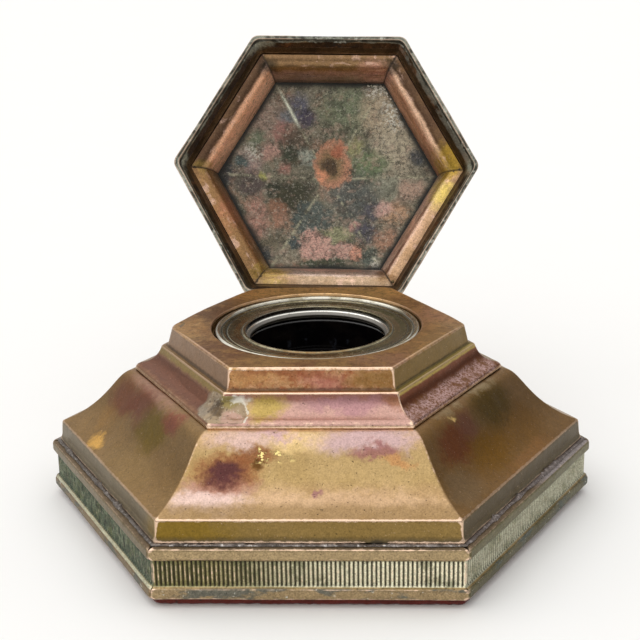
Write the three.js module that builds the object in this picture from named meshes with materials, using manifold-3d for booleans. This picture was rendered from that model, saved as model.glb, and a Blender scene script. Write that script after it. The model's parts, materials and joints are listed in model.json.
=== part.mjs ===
// Hexagonal brass inkwell: a reeded plinth, an ogee body, a lift-out glass liner in a nickel
// collar, and a hinged pagoda lid that stands open.
// Millimetres, +Z up. The origin is on the table under the middle of the base, one flat side
// of the hexagon faces -Y, the lid's hinge is at +Y, and two corners lie on the X axis.
// A hexagonal size is a corner radius (half the size across corners) unless it says "flat".

import * as THREE from "three";
import { mergeVertices } from "three/addons/utils/BufferGeometryUtils.js";
import Module from "manifold-3d";

const wasm = await Module();
wasm.setup();

// ---- driving dimensions -------------------------------------------------------------------

const ACROSS_CORNERS = 160; // widest size of the plinth
const GAP = 0.3; // clearance between neighbouring pieces
const SHEET = 0.9; // stamped brass sheet
const SIDES = 6;
const FLAT = Math.cos(Math.PI / SIDES); // side distance over corner radius

const BASE_R = ACROSS_CORNERS / 2;
const FELT_R = BASE_R - 2.4; // the felt is cut a little smaller than the foot
const FELT_TOP = 2;
const PLINTH_BOTTOM = FELT_TOP + GAP;
const FOOT_TOP = 5.6; // top of the plain foot, under the reeds
const REEDS_TOP = 13.1;
const REEDS_R = BASE_R - 1.2; // the reeded band lies back between the foot and the fascia
const LEDGE = 16.7; // top of the plinth, where the body stands
const PLINTH_INNER_R = BASE_R - 5.5;

const SKIRT_R = 77.2; // foot of the ogee body
const SKIRT_TOP = 22.9;
const CROWN_R = 53.3; // top of the ogee body
const CROWN = 39.1;
const OGEE_R = 60.5; // the ogee's hollow bends round this radius
const OGEE_RISE = 5.6; // and sets out this much above the skirt
const CROWN_FLANGE = 3; // flange the neck stands on

const NECK_R = 51.9; // foot of the neck's cove
const NECK_LEDGE = 46.6;
const NECK_LEDGE_R = 45.6;
const NECK_FASCIA_R = 43.9;
const NECK_HOLLOW_LOW_R = 48.4; // the two handles of the neck's cove
const NECK_HOLLOW_HIGH_R = 46.6;
const PLATE_TOP = 52.7;
const HOLE_R = 30.2; // round hole for the liner, in the top plate

const BOARD_THICKNESS = 6;
const BALLAST_THICKNESS = 5;
const BALLAST_R = 70;
const SLEEVE_R = 29.3; // cup that the liner hangs in
const SLEEVE_WALL = 1;
const SLEEVE_FLOOR = 1.2;
const SLEEVE_FLANGE_R = 33.5;
const SLEEVE_FLANGE = 0.8;

const SEAT = PLATE_TOP - SHEET - 1.1; // underside of the collar's bead, let into the plate
const COLLAR_R = 29.75;
const BEAD_R = COLLAR_R - 1.8; // inner side of the bead
const MOUTH_R = 20.3; // opening through the collar
const MOUTH_RING = SEAT - 2; // narrow ring at the foot of the mouth's wall, over the glass
const COLLAR_SKIRT_R = 25.9; // skirt that the glass is cemented into
const COLLAR_SKIRT_BOTTOM = SEAT - 13.3;
const POT_LIP = MOUTH_RING - 0.8 - GAP;
const POT_R = 27.6;
const POT_NECK_R = 22.6;
const POT_NECK_HEIGHT = 8.2;
const POT_SHOULDER_HEIGHT = 4.8;
const POT_BORE_R = 20;
const POT_WALL = 3;

const LID_R = 50.2; // rim of the lid
const RIM_THICKNESS = 1.4;
const LID_STEP = 6.5; // height above the rim of the step that lands on the top plate
const LID_EDGE = LID_STEP - GAP - 0.25; // top of the rim's sloping wall
const LID_SHOULDER_R = 47.2; // outer top of the rim's slope
const COVE_START_R = 44.3;
const COVE_END_R = 37.3;
const COVE_HOLLOW_R = 40.6; // the cove's first handle
const COVE_TOP = 15.2;
const PANEL_APEX = 21; // underside of the pyramid, above the rim
const PANEL_THICKNESS = 1.1;
const PANEL_R = COVE_END_R + 2;
const PANEL_TOP = PANEL_APEX + PANEL_THICKNESS + 0.1;
const RIM_PLANE = PLATE_TOP + GAP - LID_STEP; // height of the closed lid's rim

const BARREL_R = 1.4; // hinge knuckles
const PIN_R = 0.5;
const KNUCKLES = 5;
const KNUCKLE_LENGTH = 5.6;
const HINGE_Y = LID_R * FLAT + GAP + BARREL_R + 0.05;
const HINGE_Z = RIM_PLANE - 0.5;
const LID_OPENING = THREE.MathUtils.degToRad(116);

const ROUND = 48; // facets round the collar and the glass
const SMALL_ROUND = 14; // facets round the hinge and the knob

// ---- materials ----------------------------------------------------------------------------

function metal(color, roughness) {
  return new THREE.MeshStandardMaterial({ color, roughness, metalness: 1 });
}

function plain(color, roughness) {
  return new THREE.MeshStandardMaterial({ color, roughness, metalness: 0 });
}

const AGED_BRASS = 0x9a7448;
const REEDED_BRASS = 0x8a7d5c;
const INNER_BRASS = 0x9c6b4e;
const PATINA_COPPER = 0x6f6a58;

// ---- shape helpers ------------------------------------------------------------------------

// A geometry as a manifold-3d solid, with its shared vertices merged.
function solidOf(geometry) {
  const bare = geometry.clone();
  bare.deleteAttribute("normal");
  bare.deleteAttribute("uv");
  const merged = mergeVertices(bare, 1e-4);
  return new wasm.Manifold(
    new wasm.Mesh({
      numProp: 3,
      vertProperties: new Float32Array(merged.attributes.position.array),
      triVerts: new Uint32Array(merged.index.array),
    }),
  );
}

function geometryOf(solid) {
  const mesh = solid.getMesh();
  const geometry = new THREE.BufferGeometry();
  const positions = new THREE.BufferAttribute(mesh.vertProperties, 3);
  geometry.setAttribute("position", positions);
  geometry.setIndex(new THREE.BufferAttribute(mesh.triVerts, 1));
  geometry.computeVertexNormals();
  return geometry;
}

// A path from corner-radius and height pairs; a longer entry holds two Bezier handles first.
function outline(...steps) {
  const path = new THREE.Path();
  steps.forEach((step, index) => {
    if (index === 0) path.moveTo(...step);
    else if (step.length === 2) path.lineTo(...step);
    else path.bezierCurveTo(...step);
  });
  return path.getPoints(8);
}

function closed(points) {
  return [...points, points[0].clone()];
}

// The same outline moved sideways by the sheet's thickness, towards its left-hand side.
// Radii count as corner radii, so a flat wall keeps its true thickness. The first point keeps
// its height, so that the sheet's lower edge is cut level.
function inset(points, thickness) {
  const flat = points.map((p) => new THREE.Vector2(p.x * FLAT, p.y));
  return flat.map((point, index) => {
    const before = flat[Math.max(index - 1, 0)];
    const after = flat[Math.min(index + 1, flat.length - 1)];
    const into = point.clone().sub(before).normalize();
    const out = after.clone().sub(point).normalize();
    const along = into.clone().add(out).normalize();
    const turn = index > 0 && index < flat.length - 1 ? along.dot(out) : 1;
    const reach = thickness / Math.max(turn, 0.6);
    const rise = index > 0 ? along.x * reach : 0;
    return new THREE.Vector2((point.x - along.y * reach) / FLAT, point.y + rise);
  });
}

// A ring of sheet: the outer outline going up and its inset coming down.
function sheetLoop(outer, thickness) {
  return closed([...outer, ...inset(outer, thickness).reverse()]);
}

function turned(points, segments, start = 0) {
  return new THREE.LatheGeometry(points, segments, start).rotateX(Math.PI / 2);
}

function hexagonal(points) {
  return turned(points, SIDES, Math.PI / SIDES);
}

function disc(radius, bottom, top, segments) {
  const height = top - bottom;
  const geometry = new THREE.CylinderGeometry(radius, radius, height, segments);
  return geometry.rotateX(Math.PI / 2).translate(0, 0, (top + bottom) / 2);
}

// The part of a hexagonal ring along one side, cut by the mitre planes with a gap between.
function mitredSide(ring, side) {
  const reach = 2 * BASE_R;
  const halfWidth = reach * Math.tan(Math.PI / SIDES);
  const setBack = GAP / 2 / Math.sin(Math.PI / SIDES);
  const wedge = new THREE.Shape([
    new THREE.Vector2(0, -setBack),
    new THREE.Vector2(-halfWidth, -reach - setBack),
    new THREE.Vector2(halfWidth, -reach - setBack),
  ]);
  const prism = new THREE.ExtrudeGeometry(wedge, {
    depth: reach,
    bevelEnabled: false,
  });
  prism.rotateZ((side * 2 * Math.PI) / SIDES);
  return geometryOf(solidOf(ring).intersect(solidOf(prism)));
}

// A flat outline in Y and Z, given the depth between two X positions.
function alongX(shape, from, to) {
  const geometry = new THREE.ExtrudeGeometry(shape, {
    depth: to - from,
    bevelEnabled: false,
  });
  // The outline's x becomes +Y, its y becomes +Z and the depth becomes +X.
  const frame = new THREE.Matrix4().makeBasis(
    new THREE.Vector3(0, 1, 0),
    new THREE.Vector3(0, 0, 1),
    new THREE.Vector3(1, 0, 0),
  );
  return geometry.applyMatrix4(frame).translate(from, 0, 0);
}

function place(group, name, geometry, material) {
  const mesh = new THREE.Mesh(geometry, material);
  mesh.name = name;
  group.add(mesh);
  return mesh;
}

// ---- base ---------------------------------------------------------------------------------

function feltPad() {
  return hexagonal(
    outline([0, 0], [FELT_R - 0.3, 0], [FELT_R, 0.4], [FELT_R, FELT_TOP], [0, FELT_TOP]),
  );
}

function baseBoard() {
  const radius = PLINTH_INNER_R - GAP / FLAT;
  const top = PLINTH_BOTTOM + BOARD_THICKNESS;
  return hexagonal(
    outline(
      [0, PLINTH_BOTTOM],
      [radius, PLINTH_BOTTOM],
      [radius, top - 0.8],
      [radius - 0.9, top],
      [0, top],
    ),
  );
}

// Foot, recessed band for the reeds, fascia and ledge, as one ring of plinth moulding.
function plinthRing() {
  return hexagonal(
    closed(
      outline(
        [PLINTH_INNER_R, PLINTH_BOTTOM],
        [BASE_R - 0.4, PLINTH_BOTTOM],
        [BASE_R, PLINTH_BOTTOM + 0.5],
        [BASE_R, FOOT_TOP - 1],
        [BASE_R - 0.3, FOOT_TOP - 0.3],
        [BASE_R - 0.8, FOOT_TOP],
        [REEDS_R, FOOT_TOP + 0.4],
        [REEDS_R, REEDS_TOP - 0.4],
        [BASE_R - 0.8, REEDS_TOP],
        [BASE_R - 0.4, REEDS_TOP + 0.1],
        [BASE_R, REEDS_TOP + 0.7],
        [BASE_R, LEDGE - 1],
        [BASE_R - 0.4, LEDGE - 0.3],
        [BASE_R - 1, LEDGE],
        [PLINTH_INNER_R, LEDGE],
      ),
    ),
  );
}

function ballastWeight() {
  const bottom = PLINTH_BOTTOM + BOARD_THICKNESS + GAP;
  const top = bottom + BALLAST_THICKNESS;
  const block = hexagonal(
    outline([0, bottom], [BALLAST_R, bottom], [BALLAST_R - 1, top], [0, top]),
  );
  const well = disc(SLEEVE_R + 0.5, bottom - 1, top + 1, ROUND);
  return geometryOf(solidOf(block).subtract(solidOf(well)));
}

// Cup under the top plate; the collar's bead rests on the rebate inside its flange.
function wellSleeve() {
  const bottom = PLINTH_BOTTOM + BOARD_THICKNESS + GAP;
  const top = PLATE_TOP - SHEET - GAP;
  const rebate = SEAT - GAP;
  return turned(
    outline(
      [0, bottom],
      [SLEEVE_R, bottom],
      [SLEEVE_R, rebate - SLEEVE_FLANGE],
      [HOLE_R + SLEEVE_FLANGE, rebate - SLEEVE_FLANGE],
      [HOLE_R + SLEEVE_FLANGE, top - SLEEVE_FLANGE],
      [SLEEVE_FLANGE_R, top - SLEEVE_FLANGE],
      [SLEEVE_FLANGE_R, top],
      [HOLE_R, top],
      [HOLE_R, rebate],
      [SLEEVE_R - SLEEVE_WALL, rebate],
      [SLEEVE_R - SLEEVE_WALL, bottom + SLEEVE_FLOOR],
      [0, bottom + SLEEVE_FLOOR],
    ),
    ROUND,
  );
}

// Near-vertical skirt, then the ogee up to a flat flange that carries the neck.
function slopeShell() {
  const outer = outline(
    [SKIRT_R, LEDGE + GAP],
    [SKIRT_R - 0.8, LEDGE + 2],
    [SKIRT_R - 1, SKIRT_TOP - 0.4],
    [SKIRT_R - 1.2, SKIRT_TOP],
    [OGEE_R, SKIRT_TOP + OGEE_RISE, OGEE_R - 0.5, CROWN, CROWN_R, CROWN],
    [CROWN_R - CROWN_FLANGE, CROWN],
  );
  return hexagonal(sheetLoop(outer, SHEET));
}

// Small fascia, cove, ledge, tall fascia and the top plate with its round hole.
function neckShell() {
  const coveFoot = CROWN + 1.9;
  const outer = outline(
    [CROWN_R + 0.1, CROWN + GAP],
    [CROWN_R - 0.1, CROWN + 0.9],
    [CROWN_R - 0.9, CROWN + 1.7],
    [NECK_R, coveFoot],
    [
      NECK_HOLLOW_LOW_R,
      coveFoot + 0.6,
      NECK_HOLLOW_HIGH_R,
      coveFoot + 2.4,
      NECK_LEDGE_R + 0.2,
      NECK_LEDGE - 0.3,
    ],
    [NECK_LEDGE_R, NECK_LEDGE],
    [NECK_FASCIA_R + 0.2, NECK_LEDGE + 0.2],
    [NECK_FASCIA_R, NECK_LEDGE + 0.7],
    [NECK_FASCIA_R - 0.8, PLATE_TOP - 0.7],
    [NECK_FASCIA_R - 1, PLATE_TOP - 0.2],
    [NECK_FASCIA_R - 1.6, PLATE_TOP],
  );
  const inner = inset(outer, SHEET);
  const loop = [
    new THREE.Vector2(0, PLATE_TOP - SHEET),
    ...inner.reverse(),
    ...outer,
    new THREE.Vector2(0, PLATE_TOP),
  ];
  const hole = disc(HOLE_R, PLATE_TOP - 5, PLATE_TOP + 5, ROUND);
  return geometryOf(solidOf(hexagonal(loop)).subtract(solidOf(hole)));
}

// ---- liner --------------------------------------------------------------------------------

// Bead on the rim, dished annulus, low rounded lip, short mouth wall with a narrow ring at its
// foot, and the skirt that the glass is cemented into.
function linerCollar() {
  const skirtInner = COLLAR_SKIRT_R - SHEET;
  return turned(
    closed(
      outline(
        [COLLAR_SKIRT_R, COLLAR_SKIRT_BOTTOM],
        [COLLAR_SKIRT_R, SEAT - 1.9],
        [BEAD_R - 1.1, SEAT - 1.1],
        [BEAD_R, SEAT],
        [COLLAR_R - 0.2, SEAT],
        [COLLAR_R, SEAT + 0.5],
        [COLLAR_R - 0.1, SEAT + 1.4, BEAD_R + 0.4, SEAT + 2, BEAD_R, SEAT + 0.9],
        [BEAD_R - 0.3, SEAT + 0.6],
        [BEAD_R - 0.7, SEAT + 0.9],
        [BEAD_R - 4, SEAT + 0.35],
        [MOUTH_R + 1.5, SEAT + 0.5],
        [MOUTH_R + 1, SEAT + 1.2, MOUTH_R + 0.1, SEAT + 1.3, MOUTH_R, SEAT + 0.5],
        [MOUTH_R, MOUTH_RING + 0.3],
        [MOUTH_R - 0.4, MOUTH_RING],
        [MOUTH_R - 0.4, MOUTH_RING - 0.5],
        [MOUTH_R, MOUTH_RING - 0.8],
        [skirtInner, MOUTH_RING - 0.8],
        [skirtInner, COLLAR_SKIRT_BOTTOM],
      ),
    ),
    ROUND,
  );
}

function collarCement() {
  const inner = POT_NECK_R + GAP;
  const outer = COLLAR_SKIRT_R - SHEET - GAP;
  const top = POT_LIP - 0.1;
  const bottom = top - 6.5;
  return turned(
    closed(outline([inner, bottom], [outer, bottom], [outer, top], [inner, top])),
    ROUND,
  );
}

function glassPot() {
  const bottom = PLINTH_BOTTOM + BOARD_THICKNESS + GAP + SLEEVE_FLOOR + 0.8;
  const neckFoot = POT_LIP - POT_NECK_HEIGHT;
  const shoulder = neckFoot - POT_SHOULDER_HEIGHT;
  const inner = POT_R - POT_WALL;
  const floor = bottom + POT_WALL;
  return turned(
    outline(
      [0, bottom],
      [POT_R - 2, bottom],
      [POT_R - 0.6, bottom + 0.6],
      [POT_R, bottom + 2],
      [POT_R, shoulder],
      [POT_R, shoulder + 2, POT_NECK_R, neckFoot - 2.4, POT_NECK_R, neckFoot],
      [POT_NECK_R, POT_LIP - 0.4],
      [POT_NECK_R - 0.5, POT_LIP],
      [POT_BORE_R + 0.5, POT_LIP],
      [POT_BORE_R, POT_LIP - 0.5],
      [POT_BORE_R, neckFoot - 0.6],
      [POT_BORE_R, neckFoot - 3, inner, shoulder + 1.4, inner, shoulder - 0.6],
      [inner, floor + 2],
      [inner - 2, floor + 0.2],
      [0, floor],
    ),
    ROUND,
  );
}

// ---- lid, closed, with its heights counted from the rim ------------------------------------

function lidRim() {
  const top = LID_STEP + 2.2;
  const flange = top - 0.85;
  const flangeInner = COVE_START_R - 0.8;
  const wallInner = COVE_START_R + 1.25;
  const innerTop = LID_EDGE - 0.1;
  return hexagonal(
    closed(
      outline(
        [LID_R - RIM_THICKNESS, 0],
        [LID_R, 0],
        [LID_R, 1.7],
        [LID_R - 0.6, 2.4],
        [LID_SHOULDER_R, 6.2],
        [LID_SHOULDER_R - 0.3, top],
        [flangeInner, top],
        [flangeInner, flange],
        [wallInner, flange],
        [wallInner, innerTop],
        [COVE_START_R + 1.8, LID_EDGE - 1],
        [LID_R - 3.4, 3.2],
        [LID_R - RIM_THICKNESS - 0.2, 1],
      ),
    ),
  );
}

// Cove moulding between the rim and the pyramid; it is hollow on the outside of the lid.
function lidCoveRing() {
  const inner = outline(
    [COVE_START_R + 0.9, LID_STEP],
    [COVE_START_R, LID_STEP],
    [COVE_HOLLOW_R, LID_STEP + 0.3, COVE_END_R + 0.4, LID_STEP + 3.5, COVE_END_R, COVE_TOP],
  );
  const outer = inset(inner.slice(1), -1);
  return hexagonal(
    closed([
      ...inner.slice(0, 1),
      new THREE.Vector2(COVE_START_R + 0.9, LID_STEP + 1),
      ...outer.slice(1),
      ...inner.slice(1).reverse(),
    ]),
  );
}

// Six-sided pyramid that sits on the top edge of the cove.
function lidPanel() {
  const foot = COVE_TOP + GAP;
  return hexagonal(
    outline(
      [0, PANEL_APEX],
      [COVE_END_R - 0.6, foot + 0.1],
      [COVE_END_R - 0.2, foot],
      [PANEL_R, foot],
      [PANEL_R, foot + PANEL_THICKNESS],
      [COVE_END_R - 0.2, foot + PANEL_THICKNESS + 0.2],
      [0, PANEL_TOP],
    ),
  );
}

// Turned knob with a cupped seat that follows the pyramid.
function lidFinial() {
  const seat = PANEL_TOP + GAP;
  const tip = 1.4; // radius of the small knob on top
  return turned(
    outline(
      [0, seat],
      [5.4, seat - 0.55],
      [5.8, seat - 0.1],
      [5.5, seat + 0.6],
      [3.2, seat + 1.2],
      [2.2, seat + 1.9, 2, seat + 3, 2.6, seat + 3.8],
      [5.4, seat + 4.8, 5.2, seat + 8.2, 2.6, seat + 9.4],
      [tip, seat + 9.8],
      [tip, seat + 10.8, tip / 2, seat + 11.6, 0, seat + 11.7],
    ),
    SMALL_ROUND + 6,
  );
}

// ---- hinge, around its own axis at the origin ----------------------------------------------

function circleShape(radius) {
  return new THREE.Shape().absarc(0, 0, radius, 0, 2 * Math.PI);
}

// The knuckles of one leaf: every second one, starting at the given place in the row.
function knuckleStarts(first) {
  const left = (-KNUCKLES * KNUCKLE_LENGTH) / 2;
  const starts = [];
  for (let index = first; index < KNUCKLES; index += 2) {
    starts.push(left + index * KNUCKLE_LENGTH);
  }
  return starts;
}

// A leaf is a bent plate as wide as the hinge, notched round the other leaf's knuckles.
function hingeLeaf(plateShape, first) {
  const half = (KNUCKLES * KNUCKLE_LENGTH) / 2;
  let leaf = solidOf(alongX(plateShape, -half, half));
  const others = knuckleStarts(1 - first);
  const relief = circleShape(BARREL_R + GAP);
  for (const start of others) {
    const end = start + KNUCKLE_LENGTH;
    leaf = leaf.subtract(solidOf(alongX(relief, start - GAP / 2, end + GAP / 2)));
  }
  for (const start of knuckleStarts(first)) {
    const barrel = alongX(circleShape(BARREL_R), start + GAP / 2, start + KNUCKLE_LENGTH - GAP / 2);
    leaf = leaf.add(solidOf(barrel));
  }
  const bore = alongX(circleShape(PIN_R + 0.25), -half - 1, half + 1);
  return geometryOf(leaf.subtract(solidOf(bore)));
}

// Plate that runs from the barrel down over the back of the neck's cove.
function bodyLeafShape() {
  const start = NECK_LEDGE_R * FLAT + 0.55 - HINGE_Y;
  const outerCove = [
    new THREE.Vector2(start, -0.4),
    new THREE.Vector2(start + 0.66, -2.1),
    new THREE.Vector2(start + 1.96, -3.4),
    new THREE.Vector2(start + 3.56, -4.2),
  ];
  const thick = new THREE.Vector2(0.6, 0.8).multiplyScalar(SHEET);
  const back = outerCove
    .slice(1)
    .map((point) => point.clone().add(thick))
    .reverse();
  return new THREE.Shape([
    new THREE.Vector2(-0.6, 0),
    ...outerCove,
    ...back,
    new THREE.Vector2(-0.4, -0.9),
  ]);
}

// Plate that runs from the barrel up the outside of the lid's sloping rim.
function lidLeafShape() {
  const rise = RIM_PLANE - HINGE_Z;
  const rimFlat = LID_R * FLAT + GAP - HINGE_Y;
  const slopeFlat = LID_SHOULDER_R * FLAT + GAP - HINGE_Y;
  const clear = 0.1; // room between the plate and the rim
  const foot = new THREE.Vector2(0.6, 0.4); // where the plate leaves the barrel
  return new THREE.Shape([
    foot,
    new THREE.Vector2(rimFlat + 1.1, rise + 2.4),
    new THREE.Vector2(slopeFlat + 0.95, rise + 6.4),
    new THREE.Vector2(slopeFlat + clear, rise + 6.2),
    new THREE.Vector2(rimFlat + clear, rise + 1.9),
    new THREE.Vector2(rimFlat + clear, rise + 0.6),
    new THREE.Vector2(-foot.x, foot.y),
  ]);
}

function hingePin() {
  const half = (KNUCKLES * KNUCKLE_LENGTH) / 2 + 0.5;
  return alongX(circleShape(PIN_R), -half, half);
}

// ---- assembly -----------------------------------------------------------------------------

const group = new THREE.Group();

const base = new THREE.Group();
group.add(base);
place(base, "felt_pad", feltPad(), plain(0x6e1420, 0.95));
place(base, "base_board", baseBoard(), plain(0x6b4a2c, 0.7));
const plinth = plinthRing();
const STRIPS = ["front", "right_front", "right_back", "back", "left_back", "left_front"];
STRIPS.forEach((where, side) => {
  place(base, `plinth_strip_${where}`, mitredSide(plinth, side), metal(REEDED_BRASS, 0.5));
});
place(base, "ballast_weight", ballastWeight(), metal(0x4a4a4c, 0.7));
place(base, "well_sleeve", wellSleeve(), metal(AGED_BRASS, 0.5));
place(base, "slope_shell", slopeShell(), metal(AGED_BRASS, 0.38));
place(base, "neck_shell", neckShell(), metal(AGED_BRASS, 0.4));

const liner = new THREE.Group();
group.add(liner);
place(liner, "liner_collar", linerCollar(), metal(0xb9b6a8, 0.28));
place(liner, "collar_cement", collarCement(), plain(0xc9c0aa, 0.9));
const glass = new THREE.MeshStandardMaterial({
  color: 0x9fb0a8,
  roughness: 0.05,
  metalness: 0,
  transparent: true,
  opacity: 0.35,
});
place(liner, "glass_pot", glassPot(), glass);

const hinge = new THREE.Group();
hinge.position.set(0, HINGE_Y, HINGE_Z);
group.add(hinge);
place(hinge, "hinge_leaf_body", hingeLeaf(bodyLeafShape(), 0), metal(AGED_BRASS, 0.45));
place(hinge, "hinge_pin", hingePin(), metal(0x8d8f90, 0.4));

// The lid swings with this group; it is built closed and stands open past upright.
const lidSwing = new THREE.Group();
lidSwing.rotation.x = -LID_OPENING;
hinge.add(lidSwing);
place(lidSwing, "hinge_leaf_lid", hingeLeaf(lidLeafShape(), 1), metal(AGED_BRASS, 0.45));

const lid = new THREE.Group();
lid.position.set(0, -HINGE_Y, RIM_PLANE - HINGE_Z);
lidSwing.add(lid);
place(lid, "lid_rim", lidRim(), metal(INNER_BRASS, 0.5));
const cove = lidCoveRing();
STRIPS.forEach((where, side) => {
  place(lid, `lid_cove_${where}`, mitredSide(cove, side), metal(INNER_BRASS, 0.4));
});
place(lid, "lid_panel", lidPanel(), metal(PATINA_COPPER, 0.6));
place(lid, "lid_finial", lidFinial(), metal(AGED_BRASS, 0.35));

export default group;
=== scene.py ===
"""Looks of a hexagonal brass inkwell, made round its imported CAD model.

Sizes in this script are millimetres, and meshes are written in metres. A hexagon's size is a
corner radius (half its size across corners). Sides and corners count anticlockwise from the
front side, which faces -Y: corner 0 is at the right end of side 0. Lid pieces are built closed,
with their heights counted from the rim, and are then swung open about the hinge.
"""

import json
import math

import bpy
import numpy as np
from mathutils import Matrix, Vector


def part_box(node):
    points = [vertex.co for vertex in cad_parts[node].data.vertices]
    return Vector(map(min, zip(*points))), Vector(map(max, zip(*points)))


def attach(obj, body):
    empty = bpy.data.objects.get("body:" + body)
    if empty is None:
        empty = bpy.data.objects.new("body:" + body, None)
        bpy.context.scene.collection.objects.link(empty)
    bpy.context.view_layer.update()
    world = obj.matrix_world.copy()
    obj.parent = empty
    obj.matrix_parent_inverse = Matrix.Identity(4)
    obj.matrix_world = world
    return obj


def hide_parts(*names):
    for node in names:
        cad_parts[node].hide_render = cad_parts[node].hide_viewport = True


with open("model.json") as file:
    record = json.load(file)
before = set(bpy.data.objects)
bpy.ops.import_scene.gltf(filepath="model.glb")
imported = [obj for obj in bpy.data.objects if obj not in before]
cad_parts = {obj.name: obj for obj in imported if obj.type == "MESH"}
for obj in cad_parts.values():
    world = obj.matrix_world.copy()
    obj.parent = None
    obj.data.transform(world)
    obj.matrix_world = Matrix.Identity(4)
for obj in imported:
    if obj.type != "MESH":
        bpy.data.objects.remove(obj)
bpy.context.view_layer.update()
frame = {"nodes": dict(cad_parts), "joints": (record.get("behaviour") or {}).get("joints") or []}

MM = 0.001
SIDES = 6
TURN = 2 * math.pi / SIDES
FLAT = math.cos(TURN / 2)  # side distance over corner radius
HALF_SIDE = math.tan(TURN / 2)  # half a side over the side distance
SIDE_NAMES = ["front", "right_front", "right_back", "back", "left_back", "left_front"]
SHEET = 0.9  # stamped brass sheet


# ---- sizes from the CAD model ----------------------------------------------------------------


def box_mm(node):
    low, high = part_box(node)
    return np.array(low) / MM, np.array(high) / MM


felt_high = box_mm("felt_pad")[1]
strip_low, strip_high = box_mm("plinth_strip_front")
slope_low, slope_high = box_mm("slope_shell")
neck_low, neck_high = box_mm("neck_shell")
collar_low, collar_high = box_mm("liner_collar")
pot_low, pot_high = box_mm("glass_pot")

BASE_R = -strip_low[1] / FLAT
PLINTH_BOTTOM = strip_low[2]
PLINTH_INNER_R = -strip_high[1] / FLAT
LEDGE = strip_high[2]
FOOT_TOP = PLINTH_BOTTOM + 3.3
REEDS_TOP = LEDGE - 3.6
REEDS_R = BASE_R - 1.2
SKIRT_R = slope_high[0]
SKIRT_BOTTOM = slope_low[2]
SKIRT_TOP = SKIRT_BOTTOM + 5.9
CROWN = slope_high[2]
NECK_FOOT_R = neck_high[0]
NECK_BOTTOM = neck_low[2]
PLATE_TOP = neck_high[2]
HOLE_R = 30.2
COLLAR_R = collar_high[0]
SEAT = collar_high[2] - 1.5  # underside of the collar's bead, let into the plate
POT_LIP = pot_high[2]

hinge = next(joint for joint in frame["joints"] if joint["name"] == "lid_hinge")
HINGE = np.array(hinge["pos_m"]) / MM
LID_OPENING = math.radians(max(abs(limit) for limit in hinge["range_deg"]))


def closed_box_mm(node):
    """The corners of a lid node's box with the lid closed."""
    mesh = frame["nodes"][node].data
    points = np.array([vertex.co for vertex in mesh.vertices]) / MM - HINGE
    cos, sin = math.cos(LID_OPENING), math.sin(LID_OPENING)
    swing = np.array([[1, 0, 0], [0, cos, -sin], [0, sin, cos]])
    swung = points @ swing.T + HINGE
    return swung.min(0), swung.max(0)


rim_low, rim_high = closed_box_mm("lid_rim")
panel_low, panel_high = closed_box_mm("lid_panel")
cove_low, cove_high = closed_box_mm("lid_cove_front")

RIM_PLANE = rim_low[2]
LID_R = rim_high[0]
RIM_TOP = rim_high[2] - RIM_PLANE
PANEL_R = panel_high[0]
PANEL_FOOT = panel_low[2] - RIM_PLANE
PANEL_TOP = panel_high[2] - RIM_PLANE
COVE_FOOT = cove_low[2] - RIM_PLANE
COVE_TOP = cove_high[2] - RIM_PLANE
COVE_START_R = LID_R - 5.9
COVE_END_R = PANEL_R - 2
LID_TWIST = math.radians(1.3)  # the old hinge has some play


# ---- outlines and meshes ---------------------------------------------------------------------


def bezier(start, handle_a, handle_b, end, pitch):
    legs = np.diff([start, handle_a, handle_b, end], axis=0)
    count = max(6, int(np.linalg.norm(legs, axis=1).sum() / pitch))
    t = np.linspace(0, 1, count + 1)[1:, None]
    s = 1 - t
    return list(s**3 * start + 3 * s * s * t * handle_a + 3 * s * t * t * handle_b + t**3 * end)


def rounded_corner(before, corner, after, fillet):
    back, ahead = before - corner, after - corner
    back_length, ahead_length = np.linalg.norm(back), np.linalg.norm(ahead)
    straightness = -back @ ahead / (back_length * ahead_length)
    if straightness > 0.97:
        return [corner]
    reach = min(fillet, 0.45 * back_length, 0.45 * ahead_length)
    first = corner + back / back_length * reach
    last = corner + ahead / ahead_length * reach
    return [
        (1 - t) ** 2 * first + 2 * t * (1 - t) * corner + t * t * last
        for t in np.linspace(0, 1, 5)
    ]


def trace(steps, pitch=0.8, fillet=0.25):
    """An outline of (radius, height) steps as a fine row of points with rounded corners.

    A step of three pairs is a Bezier curve: two handles and the end."""
    rough = []
    for step in steps:
        pairs = np.array(step, float).reshape(-1, 2)
        if len(pairs) == 1:
            rough.append(pairs[0])
        else:
            rough += bezier(rough[-1], *pairs, pitch)
    smooth = [rough[0]]
    for before, corner, after in zip(rough, rough[1:], rough[2:]):
        smooth += rounded_corner(before, corner, after, fillet)
    smooth.append(rough[-1])
    fine = [smooth[0]]
    for start, end in zip(smooth, smooth[1:]):
        pieces = max(1, math.ceil(np.linalg.norm(end - start) / pitch))
        fine += [start + (end - start) * k / pieces for k in range(1, pieces + 1)]
    return np.array(fine)


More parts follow.
